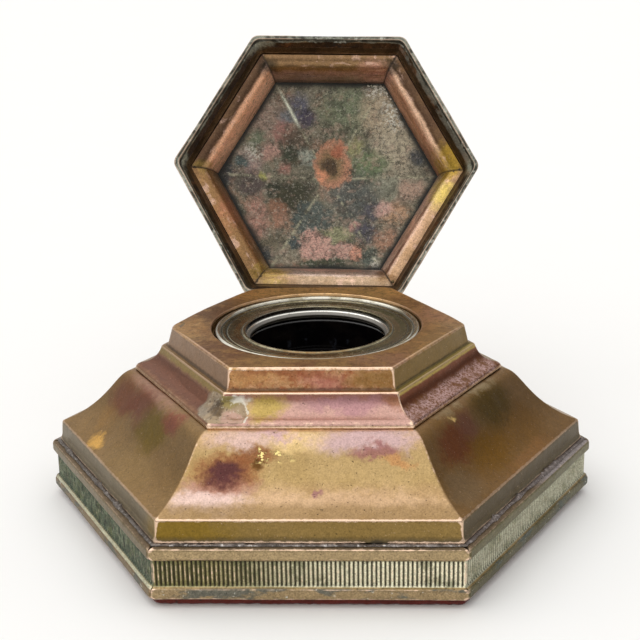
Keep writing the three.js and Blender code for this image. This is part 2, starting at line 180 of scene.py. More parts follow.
def hexagon_rings(outline, rounding, along=80, arc=4):
    """A rounded hexagon for each outline point. rounding is its corners' radius, or a row of six
    for each point. Points crowd towards the corners, where the worn edges are."""
    radii, heights = outline[:, 0], outline[:, 1]
    apothem = radii * FLAT
    rounding = np.broadcast_to(np.asarray(rounding, float), (len(outline), SIDES))
    rounding = np.minimum(rounding, 0.6 * apothem[:, None])
    u = np.linspace(-1, 1, along)
    share = (1 + 0.8 * u + 0.2 * np.sin(u * math.pi / 2)) / 2
    turn = np.linspace(-TURN / 2, TURN / 2, arc + 2)[1:-1]
    columns = []
    for side in range(SIDES):
        facing = side * TURN - math.pi / 2
        normal = np.array([math.cos(facing), math.sin(facing)])
        tangent = np.array([-normal[1], normal[0]])
        start = -(apothem - rounding[:, side - 1]) * HALF_SIDE
        end = (apothem - rounding[:, side]) * HALF_SIDE
        x = start[:, None] + (end - start)[:, None] * share
        columns.append(apothem[:, None, None] * normal + x[..., None] * tangent)
        corner = facing + TURN / 2
        centre = (apothem - rounding[:, side]) / FLAT
        middle = centre[:, None, None] * np.array([math.cos(corner), math.sin(corner)])
        spokes = np.stack([np.cos(corner + turn), np.sin(corner + turn)], -1)
        columns.append(middle + rounding[:, side, None, None] * spokes)
    flat = np.concatenate(columns, 1)
    level = np.broadcast_to(heights[:, None, None], flat.shape[:2] + (1,))
    return np.concatenate([flat, level], 2)


def round_rings(outline, segments=160):
    angle = np.linspace(0, 2 * math.pi, segments, endpoint=False)
    circle = np.stack([np.cos(angle), np.sin(angle)], -1)
    flat = outline[:, 0, None, None] * circle
    level = np.broadcast_to(outline[:, 1, None, None], flat.shape[:2] + (1,))
    return np.concatenate([flat, level], 2)


def grid_faces(rows, columns, wrap_rows, wrap_columns):
    row = np.arange(rows if wrap_rows else rows - 1)
    column = np.arange(columns if wrap_columns else columns - 1)
    row, column = (grid.ravel() for grid in np.meshgrid(row, column, indexing="ij"))
    next_row, next_column = (row + 1) % rows, (column + 1) % columns
    corners = [(row, column), (row, next_column), (next_row, next_column), (next_row, column)]
    return np.stack([a * columns + b for a, b in corners], 1).tolist()


def make_piece(name, points, faces):
    """A smooth-shaded object from points in mm. Its "place" attribute keeps them for materials."""
    quads = np.array([face for face in faces if len(face) == 4])
    corner = [points[quads[:, k]] for k in range(4)]
    volume = (corner[0] * np.cross(corner[1] - corner[3], corner[2] - corner[0])).sum()
    if volume < 0:
        faces = [face[::-1] for face in faces]
    mesh = bpy.data.meshes.new(name)
    mesh.from_pydata((points * MM).tolist(), [], faces)
    mesh.shade_smooth()
    mesh.set_sharp_from_angle(angle=math.radians(50))
    place = mesh.attributes.new("place", "FLOAT_VECTOR", "POINT")
    place.data.foreach_set("vector", points.astype(np.float32).ravel())
    piece = bpy.data.objects.new(name, mesh)
    bpy.context.scene.collection.objects.link(piece)
    return piece


def ring_solid(name, rings):
    """A closed ring of sheet or moulding: the last section joins the first."""
    rows, columns = rings.shape[:2]
    return make_piece(name, rings.reshape(-1, 3), grid_faces(rows, columns, True, True))


def capped_solid(name, rings):
    """A solid whose first and last sections are closed by a fan to their centres."""
    rows, columns = rings.shape[:2]
    ends = np.array([rings[0].mean(0), rings[-1].mean(0)])
    points = np.concatenate([rings.reshape(-1, 3), ends])
    faces = grid_faces(rows, columns, False, True)
    first, last = rows * columns, rows * columns + 1
    top = (rows - 1) * columns
    for k in range(columns):
        following = (k + 1) % columns
        faces.append([first, following, k])
        faces.append([last, top + k, top + following])
    return make_piece(name, points, faces)


def strip_solid(name, side, section, samples, crowd, gap):
    """A moulding strip along one side between its mitre planes; section is a closed outline.

    crowd is how much the samples gather at the ends. Returns the object and each point's x."""
    apothem = section[:, 0] * FLAT
    u = np.linspace(-1, 1, samples)
    share = (1 - crowd) * u + crowd * np.sin(u * math.pi / 2)
    x = share[:, None] * (apothem * HALF_SIDE - gap)
    y = np.broadcast_to(-apothem, x.shape)
    z = np.broadcast_to(section[:, 1], x.shape)
    rows, columns = x.shape
    facing = side * TURN
    cos, sin = math.cos(facing), math.sin(facing)
    points = np.stack([cos * x - sin * y, sin * x + cos * y, z], -1).reshape(-1, 3)
    faces = grid_faces(rows, columns, False, True)
    faces.append(list(range(columns))[::-1])
    faces.append([(rows - 1) * columns + k for k in range(columns)])
    return make_piece(name, points, faces), x.ravel()


# ---- shaping: dents, waviness, worn edges ------------------------------------------------------


def read(mesh_data, key, width):
    values = np.empty(len(mesh_data) * width, np.float32)
    mesh_data.foreach_get(key, values)
    return values.reshape(-1, width).astype(float)


def places(piece):
    return read(piece.data.attributes["place"].data, "vector", 3)


def lattice_noise(points, size, seed):
    """Smooth random values from -1 to 1 that change over about size mm."""
    grid = np.random.default_rng(seed).uniform(-1, 1, (32, 32, 32))
    scaled = points / size
    cell = np.floor(scaled).astype(int)
    part = scaled - cell
    part = part * part * (3 - 2 * part)
    total = np.zeros(len(points))
    for corner in np.ndindex(2, 2, 2):
        weight = np.where(np.array(corner) == 1, part, 1 - part).prod(1)
        total += weight * grid[tuple(((cell + corner) % 32).T)]
    return total


def push(piece, amount):
    """Moves the points along their normals by amount, in mm."""
    mesh = piece.data
    points = read(mesh.vertices, "co", 3)
    normals = read(mesh.vertices, "normal", 3)
    points += normals * (amount * MM)[:, None]
    mesh.vertices.foreach_set("co", points.astype(np.float32).ravel())
    mesh.update()


def near(points, centre, size):
    """A bell from 1 at the centre to 0, as wide as size, which is one number or three."""
    reach = (points - np.array(centre)) / np.array(size)
    return np.exp(-2 * (reach**2).sum(1))


def hand_worn(piece, seed, wave=0.12, ripple=0.03):
    """The uneven surface of old sheet metal: long waves and short ripples."""
    points = places(piece)
    amount = wave * lattice_noise(points, 17, seed) + ripple * lattice_noise(points, 3.5, seed + 1)
    push(piece, amount)


def store(piece, name, values):
    attribute = piece.data.attributes.new(name, "FLOAT", "POINT")
    attribute.data.foreach_set("value", values.astype(np.float32))


def mark_edges(piece, spread=6, gain=1.4):
    """Stores "wear" on sharp outer edges and "grime" in creases, from the bend between points."""
    mesh = piece.data
    points = read(mesh.vertices, "co", 3) / MM
    normals = read(mesh.vertices, "normal", 3)
    ends = np.empty(len(mesh.edges) * 2, np.int32)
    mesh.edges.foreach_get("vertices", ends)
    a, b = ends.reshape(-1, 2).T
    span = points[b] - points[a]
    length = np.maximum(np.linalg.norm(span, axis=1), 0.05)
    bend = ((normals[b] - normals[a]) * span).sum(1) / length**2
    count = len(points)
    both = np.concatenate([a, b])
    weight = np.bincount(both, minlength=count) + 1e-9
    value = np.bincount(both, np.tile(np.clip(bend, -2, 2), 2), count) / weight
    reach = np.exp(-length / 0.6)
    total = np.bincount(both, np.tile(reach, 2), count) + 1
    for _ in range(spread):
        passed = np.bincount(a, value[b] * reach, count) + np.bincount(b, value[a] * reach, count)
        value = (value + passed) / total
    store(piece, "wear", np.clip(value * gain, 0, 1))
    store(piece, "grime", np.clip(-value * gain, 0, 1))


# ---- materials -------------------------------------------------------------------------------


def tone(colour):
    """A colour as a display shows it, 0 to 255, turned into the linear values of a shader."""
    return tuple(((value / 255 + 0.055) / 1.055) ** 2.4 for value in colour) + (1.0,)


class Finish:
    """A material painted in layers, each through a mask, over one Principled shader.

    Colours are display values, 0 to 255. carried is for a CAD node, which has no "place" or
    edge attributes."""

    def __init__(self, name, colour, rough, metal=1.0, carried=False):
        self.material = bpy.data.materials.new(name)
        self.material.use_nodes = True
        self.tree = self.material.node_tree
        self.shader = self.tree.nodes["Principled BSDF"]
        self.colour, self.rough, self.metal = tone(colour), rough, metal
        self.height = None
        self.made = {}
        if carried:
            source = self.node("ShaderNodeTexCoord").outputs["Object"]
            self.place = self.vector("MULTIPLY", source, (1 / MM, 1 / MM, 1 / MM))
        else:
            self.place = self.node("ShaderNodeAttribute", attribute_name="place").outputs["Vector"]

    def feed(self, socket, value):
        if isinstance(value, bpy.types.NodeSocket):
            self.tree.links.new(value, socket)
        else:
            socket.default_value = value

    def node(self, kind, inputs=None, **settings):
        made = self.tree.nodes.new(kind)
        for key, value in settings.items():
            setattr(made, key, value)
        for key, value in (inputs or {}).items():
            self.feed(made.inputs[key], value)
        return made

    def maths(self, operation, *values):
        made = self.node("ShaderNodeMath", operation=operation)
        for socket, value in zip(made.inputs, values):
            self.feed(socket, value)
        return made.outputs[0]

    def vector(self, operation, *values):
        made = self.node("ShaderNodeVectorMath", operation=operation)
        for socket, value in zip(made.inputs, values):
            self.feed(socket, value)
        return made.outputs["Value" if operation in ("LENGTH", "DOT_PRODUCT") else "Vector"]

    def once(self, key, make):
        """What make() returns, made the first time that the key is asked for."""
        if key not in self.made:
            self.made[key] = make()
        return self.made[key]

    def edge(self, name):
        """A value that the mesh stores at its points."""
        return self.once(
            name, lambda: self.node("ShaderNodeAttribute", attribute_name=name).outputs["Fac"]
        )

    def cloud(self, size, detail, seed, stretch):
        """A noise node, longer along an axis where stretch is big."""
        scale = [1 / part for part in stretch]
        offset = (17.3 * seed + 5.1, 31.7 * seed, 11.9 * seed)
        moved = self.vector("MULTIPLY_ADD", self.place, scale, offset)
        texture = self.node("ShaderNodeTexNoise", {"Vector": moved, "Scale": 1 / size})
        texture.inputs["Detail"].default_value = detail
        texture.inputs["Roughness"].default_value = 0.6
        return texture

    def noise(self, size, detail=3.0, seed=0, stretch=(1, 1, 1)):
        """Cloudy values from 0 to 1 that change over about size mm."""
        key = (size, detail, seed, stretch)
        return self.once(key, lambda: self.cloud(*key)).outputs["Fac"]

    def wandering(self):
        """The place, pushed about by noise, so that what is drawn with it has uneven outlines."""
        place = self.place
        for size, reach in ((7, 7.0), (1.6, 2.4)):
            colour = self.cloud(size, 3.0, 20, (1, 1, 1)).outputs["Color"]
            centred = self.vector("SUBTRACT", colour, (0.5, 0.5, 0.5))
            place = self.vector("MULTIPLY_ADD", centred, (reach, reach, reach), place)
        return place

    def streaks(self, size, low, high, seed, length=10):
        """Torn streaks along a strip, which stores how far "along" it each point is."""
        height = self.level_of("Z")
        along = self.maths("MULTIPLY", self.edge("along"), 1 / length)
        place = self.node("ShaderNodeCombineXYZ", {"X": along, "Y": height, "Z": 7.0 * seed})
        texture = self.node("ShaderNodeTexNoise", {"Vector": place.outputs[0], "Scale": 1 / size})
        texture.inputs["Detail"].default_value = 4.0
        texture.inputs["Roughness"].default_value = 0.6
        return self.step(texture.outputs["Fac"], low, high)

    def step(self, value, low, high, start=0.0, end=1.0):
        """A soft step: start below low and end above high."""
        made = self.node("ShaderNodeMapRange", {"Value": value}, interpolation_type="SMOOTHSTEP")
        for key, number in (("From Min", low), ("From Max", high), ("To Min", start), ("To Max", end)):
            made.inputs[key].default_value = number
        return made.outputs[0]

    def clouds(self, size, low, high, seed, stretch=(1, 1, 1)):
        """Patches with torn edges: 0 where the noise is under low, and 1 where it is over high."""
        return self.step(self.noise(size, 5.0, seed, stretch), low, high)

    def spot(self, centre, size, strength=1.0, soft=1.0, ragged=0.35):
        """strength inside a blotch at a place on the object and 0 outside, with an uneven edge.

        soft is how wide its edge is and ragged how torn, both as shares of its size."""
        size = np.broadcast_to(size, 3)
        scale = (1 / size).tolist()
        shift = (-np.array(centre) / size).tolist()
        place = self.once("wandering", self.wandering)
        reach = self.vector("LENGTH", self.vector("MULTIPLY_ADD", place, scale, shift))
        torn = self.once("torn", lambda: self.maths("SUBTRACT", self.noise(1.3, 5.0, 21), 0.5))
        worn = self.maths("MULTIPLY_ADD", torn, 2 * ragged, reach)
        return self.step(worn, 1 - soft / 2, 1 + soft / 2, strength, 0.0)

    def flat(self):
        """The place without its height."""
        return self.once("flat", lambda: self.vector("MULTIPLY", self.place, (1, 1, 0)))

    def reach(self, number):
        """How far the place is from the vertical axis, measured towards one of the six sides."""
        angle = number * TURN - math.pi / 2
        return self.vector("DOT_PRODUCT", self.flat(), (math.cos(angle), math.sin(angle), 0))

    def radius(self):
        """How far the place is from the vertical axis."""
        return self.once("radius", lambda: self.vector("LENGTH", self.flat()))

    def facing(self, number):
        """The cosine between a side's direction and the place's, seen from above."""
        return self.maths("DIVIDE", self.reach(number), self.radius())

    def side(self, number):
        """1 on one of the six sides, fading over its corners."""
        fade = 0.004
        return self.once(
            ("side", number), lambda: self.step(self.facing(number), FLAT - fade, FLAT + fade)
        )

    def level_of(self, axis):
        """The place along one axis."""
        axes = self.once("axes", lambda: self.node("ShaderNodeSeparateXYZ", {0: self.place}))
        return axes.outputs[axis]

    def level(self, low, high, soft=0.3, ragged=0.0, axis="Z"):
        """1 between two heights, or between two places along another axis."""
        height = self.level_of(axis)
        if ragged:
            cloud = self.maths("SUBTRACT", self.noise(3.0, 4.0), 0.5)
            height = self.maths("MULTIPLY_ADD", cloud, 2 * ragged, height)
        above = self.step(height, low - soft / 2, low + soft / 2)
        below = self.step(height, high - soft / 2, high + soft / 2, 1.0, 0.0)
        return self.both(above, below)

    def between(self, low, high, soft=0.4):
        """1 between two distances from the vertical axis."""
        radius = self.radius()
        return self.both(
            self.step(radius, low - soft / 2, low + soft / 2),
            self.step(radius, high - soft / 2, high + soft / 2, 1.0, 0.0),
        )

    def both(self, *masks):
        """The product of the masks."""
        product = masks[0]
        for mask in masks[1:]:
            product = self.maths("MULTIPLY", product, mask)
        return product

    def mix(self, mask, under, over, kind):
        made = self.node("ShaderNodeMix", data_type=kind, clamp_factor=True)
        first, second, result = (6, 7, 2) if kind == "RGBA" else (2, 3, 0)
        self.feed(made.inputs[0], mask)
        self.feed(made.inputs[first], under)
        self.feed(made.inputs[second], over)
        return made.outputs[result]

    def paint(self, mask, colour=None, rough=None, metal=None, strength=1.0):
        """Covers what is under the mask with a colour, a roughness and a metalness."""
        if strength != 1.0:
            mask = self.maths("MULTIPLY", mask, strength)
        if colour is not None:
            self.colour = self.mix(mask, self.colour, tone(colour), "RGBA")
        if rough is not None:
            self.rough = self.mix(mask, self.rough, rough, "FLOAT")
        if metal is not None:
            self.metal = self.mix(mask, self.metal, metal, "FLOAT")

    def patches(self, within, cloud, colour, rough=None, metal=None, strength=1.0):
        """Paints torn patches inside a mask; cloud is what clouds() takes."""
        self.paint(self.both(within, self.clouds(*cloud)), colour, rough, metal, strength)

    def blotches(self, *items, within=None, soft=1.0, ragged=0.35):
        """Paints blotches in turn; each is a centre, a size, a colour and a strength."""
        for centre, size, colour, strength in items:
            mask = self.spot(centre, size, strength, soft, ragged)
            self.paint(mask if within is None else self.both(within, mask), colour)

    def sides(self, within, colours, rough=None, strength=0.9):
        """Paints each of the six sides its own colour."""
        for number, colour in enumerate(colours):
            self.paint(self.both(within, self.side(number)), colour, rough, strength=strength)

    def mottle(self, size, amount, seed):
        """Makes the colour lighter and darker in grains of about size mm."""
        grain = self.step(self.noise(size, 2.0, seed), 0.3, 0.7, 1 - amount, 1 + amount)
        scaled = self.node("ShaderNodeVectorMath", operation="SCALE")
        self.feed(scaled.inputs[0], self.colour)
        self.feed(scaled.inputs["Scale"], grain)
        self.colour = scaled.outputs["Vector"]

    def raise_by(self, value, amount):
        """Adds to the small relief: value times amount, in mm."""
        if self.height is None:
            self.height = self.maths("MULTIPLY", value, amount)
        else:
            self.height = self.maths("MULTIPLY_ADD", value, amount, self.height)

    def done(self, **shader):
        """Links the layers to the shader; constants go straight on its own sockets."""
        self.feed(self.shader.inputs["Base Color"], self.colour)
        self.feed(self.shader.inputs["Roughness"], self.rough)
        self.feed(self.shader.inputs["Metallic"], self.metal)
        for key, value in shader.items():
            self.shader.inputs[key.replace("_", " ")].default_value = value
        if self.height is not None:
            bump = self.node("ShaderNodeBump", {"Height": self.height})
            bump.inputs["Distance"].default_value = MM
            self.feed(self.shader.inputs["Normal"], bump.outputs["Normal"])
        return self.material


GOLD = (190, 158, 118)
WORN = (252, 218, 190)
DIRT = (36, 29, 20)
CHALK = (206, 202, 188)


def old_metal(name, light, deep, rough=0.36, carried=False):
    """The first layers of tarnished metal: large clouds and smears of a deeper colour."""
    finish = Finish(name, light, rough, carried=carried)
    finish.paint(finish.clouds(19, 0.42, 0.62, 1), deep)
    finish.paint(finish.clouds(3.2, 0.48, 0.70, 2), deep, rough + 0.12, strength=0.5)
    return finish


def roughen(finish, grain=0.12, pitted=0.6):
    """The grain, pits, painted glints (small bright highlight specks) and slight dents of metal that has been
    handled for years.
    """
    finish.mottle(1.3, 0.5 * grain, 30)
    finish.mottle(0.45, grain, 31)
    pits = finish.step(finish.noise(0.6, 2.0, 5), 0.66, 0.72)
    finish.paint(pits, DIRT, 0.7, 0.6, strength=pitted)
    # painted highlight: small bright glints painted into the colour
    finish.paint(finish.step(finish.noise(0.6, 2.0, 32), 0.67, 0.74), WORN, 0.25, strength=0.2)
    finish.raise_by(pits, -0.03)
    finish.raise_by(finish.noise(0.45, 2.0, 31), 0.03)
    finish.raise_by(finish.noise(1.3, 2.0, 30), 0.03)
    finish.raise_by(finish.noise(6.0, 2.0, 7), 0.10)


def weather(finish, wear=0.3, front_wear_and_highlight=0.85, held=0.6):
    """The last layers of old metal: dirt held in the creases, and bright rubbed edges.

    The front's edges are rubbed most, where the hand reaches the pot, and also carry a painted highlight:
    bright lines along the front edges, where the light catches them."""
    crease = finish.maths("MULTIPLY_ADD", finish.noise(1.6, 4.0, 8), 0.6, finish.edge("grime"))
    finish.paint(finish.step(crease, 0.5, 1.0), DIRT, 0.7, 0.4, strength=held)
    rub = finish.maths("MULTIPLY_ADD", finish.noise(1.4, 4.0, 9), -0.9, finish.edge("wear"))
    rubbed = finish.step(rub, 0.0, 0.4)
    finish.paint(rubbed, WORN, 0.22, 1.0, strength=wear)
    # worn brass and painted highlight: bright lines on the front side's edges
    finish.paint(finish.both(finish.side(0), rubbed), WORN, 0.22, 1.0, strength=front_wear_and_highlight)


# ---- dressing a piece ------------------------------------------------------------------------


def fit(piece, body, slot, material, *nodes):
    """Gives a piece its material, its body and the CAD nodes it stands for."""
    piece.data.materials.append(material)
    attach(piece, body)
    if nodes:
        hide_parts(*nodes)
    return piece


def swing_open(piece):
    """Moves a lid piece from its closed place, heights from the rim, to the open one."""
    to_hinge = Matrix.Translation(Vector(HINGE * MM))
    swing = Matrix.Rotation(-LID_OPENING, 4, "X")
    play = Matrix.Translation((0, HINGE[1] * MM, 0))
    twist = play @ Matrix.Rotation(LID_TWIST, 4, "Z") @ play.inverted()
    lift = Matrix.Translation((0, 0, RIM_PLANE * MM))
    piece.matrix_world = to_hinge @ swing @ to_hinge.inverted() @ lift @ twist


# ---- camera, light and floor -------------------------------------------------------------------

CAMERA_PLACE = (16.9, -363.0, 171.0)
CAMERA_YAW, CAMERA_DIP, CAMERA_ROLL = (math.radians(angle) for angle in (2.5, 17.88, -1.07))
CAMERA_LENS = 74.65  # on a sensor 36 mm wide


def add_camera():
    data = bpy.data.cameras.new("camera")
    data.lens = CAMERA_LENS
    data.sensor_width = 36
    data.clip_start, data.clip_end = 0.01, 60
    camera = bpy.data.objects.new("camera", data)
    bpy.context.scene.collection.objects.link(camera)
    yaw = Matrix.Rotation(CAMERA_YAW, 4, "Z")
    dip = Matrix.Rotation(math.pi / 2 - CAMERA_DIP, 4, "X")
    roll = Matrix.Rotation(CAMERA_ROLL, 4, "Z")
    camera.matrix_world = Matrix.Translation(Vector(CAMERA_PLACE) * MM) @ yaw @ dip @ roll
    bpy.context.scene.camera = camera


def add_studio():
    """A pale room: bright overhead, dim towards the horizon, and brighter at the left."""
    world = bpy.data.worlds.new("studio")
    bpy.context.scene.world = world
    world.use_nodes = True
    tree = world.node_tree
    axes = tree.nodes.new("ShaderNodeSeparateXYZ")
    tree.links.new(tree.nodes.new("ShaderNodeTexCoord").outputs["Generated"], axes.inputs[0])
    ramp = tree.nodes.new("ShaderNodeValToRGB")
    tree.links.new(axes.outputs["Z"], ramp.inputs["Fac"])
    stops = [(0.0, 0.20), (0.22, 0.30), (0.5, 0.95), (0.8, 1.35)]
    ramp.color_ramp.interpolation = "EASE"
    for position, value in stops[2:]:
        ramp.color_ramp.elements.new(position)
    for element, (position, value) in zip(ramp.color_ramp.elements, stops):
        element.position = position
        element.color = (value, value * 0.99, value * 0.975, 1)
    slant = tree.nodes.new("ShaderNodeMath")
    slant.operation = "MULTIPLY_ADD"
    tree.links.new(axes.outputs["X"], slant.inputs[0])
    slant.inputs[1].default_value = -0.4
    slant.inputs[2].default_value = 1.0
    background = tree.nodes["Background"]
    tree.links.new(ramp.outputs["Color"], background.inputs["Color"])
    tree.links.new(slant.outputs[0], background.inputs["Strength"])
    bpy.context.scene.view_settings.view_transform = "Standard"


def add_floor():
    """A pale sheet, flat round the inkwell and curving up far away, so that no horizon shows."""
    ends = [(0.01, 0), (1, 0), (2, 0), (4, 0), (5, 0.04), (6, 0.16), (7, 0.36), (8, 0.64), (9, 1)]
    rings = round_rings(np.array(ends, float), 64)
    rows, columns = rings.shape[:2]
    data = bpy.data.meshes.new("floor")
    faces = grid_faces(rows, columns, False, True)
    faces.append(list(range(columns)))
    data.from_pydata(rings.reshape(-1, 3).tolist(), [], faces)
    data.shade_smooth()
    floor = bpy.data.objects.new("floor", data)
    bpy.context.scene.collection.objects.link(floor)
    paper = Finish("floor_paper", (248, 248, 247), 0.9, 0.0, carried=True)
    paper.paint(paper.noise(40, 2.0), (246, 245, 244), strength=0.5)
    data.materials.append(paper.done())


# ---- base ------------------------------------------------------------------------------------


def felt_finish():
    finish = Finish("red_felt", (100, 34, 26), 0.95, 0.0)
    finish.paint(finish.clouds(6, 0.4, 0.65, 1), (84, 26, 20))
    fibres = finish.noise(0.35, 3.0, 2, (1, 1, 2.5))
    finish.paint(finish.step(fibres, 0.45, 0.7), (132, 50, 38), strength=0.5)
    finish.paint(finish.clouds(1.7, 0.58, 0.72, 3), (52, 30, 22), strength=0.8)
    finish.raise_by(fibres, 0.12)
    return finish.done(Sheen_Weight=0.2, Sheen_Roughness=0.5)


def make_felt():
    radius, top = felt_high[0], felt_high[2]
    outline = trace([(0.5, 0), (radius - 0.6, 0), (radius, 0.5), (radius, top), (0.5, top)], 1.6)
    felt = capped_solid("felt_baize", hexagon_rings(outline, 0.8, along=150))
    points = places(felt)
    band = near(points * (0, 0, 1), (0, 0, 1), (1, 1, 1.6))
    band_inner_r = 64
    rim = band * (np.hypot(points[:, 0], points[:, 1]) > band_inner_r)
    push(felt, rim * (0.1 + 0.3 * lattice_noise(points, 1.1, 5)))
    lifted = read(felt.data.vertices, "co", 3)
    lifted[:, 2] = np.maximum(lifted[:, 2], 0)
    felt.data.vertices.foreach_set("co", lifted.astype(np.float32).ravel())
    fit(felt, "base", "felt", felt_finish(), "felt_pad")


def board_finish():
    finish = Finish("board_wood", (122, 84, 50), 0.7, 0.0, carried=True)
    grain = finish.noise(2.2, 5.0, 1, (14, 1, 1))
    finish.paint(finish.step(grain, 0.4, 0.62), (84, 54, 30))
    finish.paint(finish.clouds(0.6, 0.55, 0.7, 2, (20, 1, 1)), (64, 42, 26), strength=0.6)
    finish.raise_by(grain, 0.08)
    return finish.done()


REEDS = 70  # on each side
REED_DEPTH = 0.42


def plinth_finish():
    """Foot, reeds, fascia and ledge of the plinth; verdigris has taken the left and right, and each side's
    tone is partly painted shade.
    """
    finish = old_metal("plinth_brass", (166, 142, 100), (128, 106, 64), 0.38)
    fascia = finish.level(REEDS_TOP, LEDGE - 0.3)
    foot = finish.level(PLINTH_BOTTOM - 1, FOOT_TOP - 0.1)
    reeds = finish.level(FOOT_TOP + 0.2, REEDS_TOP - 0.2)
    # each side's tone is partly tarnish, partly painted shade: the front lightest, the right front darkest
    finish.sides(
        fascia,
        [(172, 150, 114), (96, 92, 66), (124, 110, 74), (146, 124, 84), (124, 108, 74), (112, 98, 72)],
    )
    finish.sides(
        foot,
        [(164, 142, 108), (88, 86, 64), (108, 98, 68), (134, 114, 78), (112, 98, 68), (124, 104, 72)],
    )
    finish.patches(foot, (5.5, 0.50, 0.58, 14, (2.4, 2.4, 1)), (92, 98, 92), 0.6, 0.5, 0.8)
    finish.patches(foot, (1.1, 0.64, 0.70, 15), CHALK, 0.8, 0.1)
    # partly tarnish, partly painted light: the front's reeds are painted near white as a highlight
    reed_tarnish_and_highlight = [
        (240, 236, 206),
        (184, 184, 162),
        (150, 148, 116),
        (186, 176, 136),
        (126, 130, 102),
        (112, 124, 104),
    ]
    finish.sides(reeds, reed_tarnish_and_highlight, 0.3, 0.95)
    left_half = finish.level(-90, -6, 44, axis="X")
    finish.paint(finish.both(reeds, finish.side(0), left_half), (126, 118, 64), 0.42, strength=0.9)
    finish.patches(reeds, (4.5, 0.50, 0.62, 11), (104, 108, 70), 0.5, 0.7, 0.6)
    finish.paint(finish.both(reeds, finish.edge("valley")), (54, 46, 22), 0.6, 0.6, 0.9)
    face = finish.both(reeds, finish.side(5))
    finish.patches(face, (3.0, 0.40, 0.60, 12), (72, 82, 68), 0.6, 0.5, 0.8)
    finish.patches(face, (1.8, 0.54, 0.64, 13, (1, 1, 3)), (44, 52, 46), 0.65, 0.4, 0.8)
    finish.paint(finish.both(finish.side(1), reeds), (160, 158, 138), 0.42, 0.8, 0.35)
    line = finish.both(finish.side(5), finish.level(FOOT_TOP - 0.5, FOOT_TOP + 0.1, 0.2))
    finish.paint(line, (206, 204, 176), 0.3, strength=0.8)
    top = finish.level(LEDGE - 0.35, LEDGE + 1, 0.2)
    finish.paint(top, (98, 82, 66), 0.6, 0.6, 0.8)
    crust = finish.both(finish.side(1), top, finish.level(-30, 20, 10, axis="Y"))
    finish.paint(crust, (158, 150, 150), 0.6, 0.6, 0.8)
    roughen(finish, grain=0.24)
    weather(finish)
    return finish.done()


def plinth_section():
    """The strip's closed outline, from the foot up over the reeds to the ledge and back."""
    outer = trace(
        [
            (PLINTH_INNER_R, PLINTH_BOTTOM),
            (BASE_R - 0.4, PLINTH_BOTTOM),
            (BASE_R, PLINTH_BOTTOM + 0.5),
            (BASE_R, FOOT_TOP - 1),
            (BASE_R - 0.3, FOOT_TOP - 0.3),
            (BASE_R - 0.8, FOOT_TOP),
            (REEDS_R, FOOT_TOP + 0.4),
            (REEDS_R, REEDS_TOP - 0.4),
            (BASE_R - 0.8, REEDS_TOP),
            (BASE_R - 0.4, REEDS_TOP + 0.1),
            (BASE_R, REEDS_TOP + 0.7),
            (BASE_R, LEDGE - 0.9),
            (BASE_R - 0.3, LEDGE - 0.3),
            (BASE_R - 1, LEDGE),
            (PLINTH_INNER_R, LEDGE),
        ],
        pitch=0.5,
        fillet=0.25,
    )
    return outer[:-1]


def make_plinth():
    material = plinth_finish()
    section = plinth_section()
    for side, name in enumerate(SIDE_NAMES):
        samples = REEDS * 8 + 1
        strip, x = strip_solid(f"reeded_{name}", side, section, samples, crowd=0.0, gap=0.06)
        points = places(strip)
        height = points[:, 2]
        radius = np.tile(section[:, 0], samples)
        low_end = np.clip((height - FOOT_TOP - 0.2) / 0.4, 0, 1)
        high_end = np.clip((REEDS_TOP - 0.2 - height) / 0.4, 0, 1)
        outside = radius > BASE_R - 3
        reeded = low_end * high_end * outside
        phase = np.abs(np.sin(x / (REEDS_R * HALF_SIDE * FLAT) * REEDS * math.pi / 2))
        groove = (1 - phase) ** 0.7
        end = np.clip(1 - (radius * FLAT * HALF_SIDE - np.abs(x)) / 1.1, 0, 1) ** 2
        uneven = 0.10 * lattice_noise(points, 13, 31 + side) + 0.03 * lattice_noise(points, 2.5, 41 + side)
        dings = 0.12 * np.maximum(lattice_noise(points, 2.2, 51 + side) - 0.55, 0)
        push(strip, outside * (uneven - 0.1 - reeded * groove * REED_DEPTH - 0.45 * end - dings))
        mark_edges(strip, spread=3, gain=0.9)
        store(strip, "valley", reeded * np.clip((0.80 - phase) / 0.35, 0, 1))
        fit(strip, "base", "plinth_brass", material, f"plinth_strip_{name}")


def body_finish(name, rough=0.36):
    """The big brass slopes: each side has its own tarnish and painted shade, the front lightest and the right
    front darkest.
    """
    finish = old_metal(name, GOLD, (166, 134, 94), rough)
    # partly tarnish, partly painted shade: the sides turned from the light are painted darker
    side_tarnish_and_shade = [(104, 70, 18), (150, 118, 70), (166, 132, 88), (150, 116, 72), (120, 92, 50)]
    for number, colour in enumerate(side_tarnish_and_shade, 1):
        finish.paint(finish.side(number), colour, strength=0.8)
    return finish


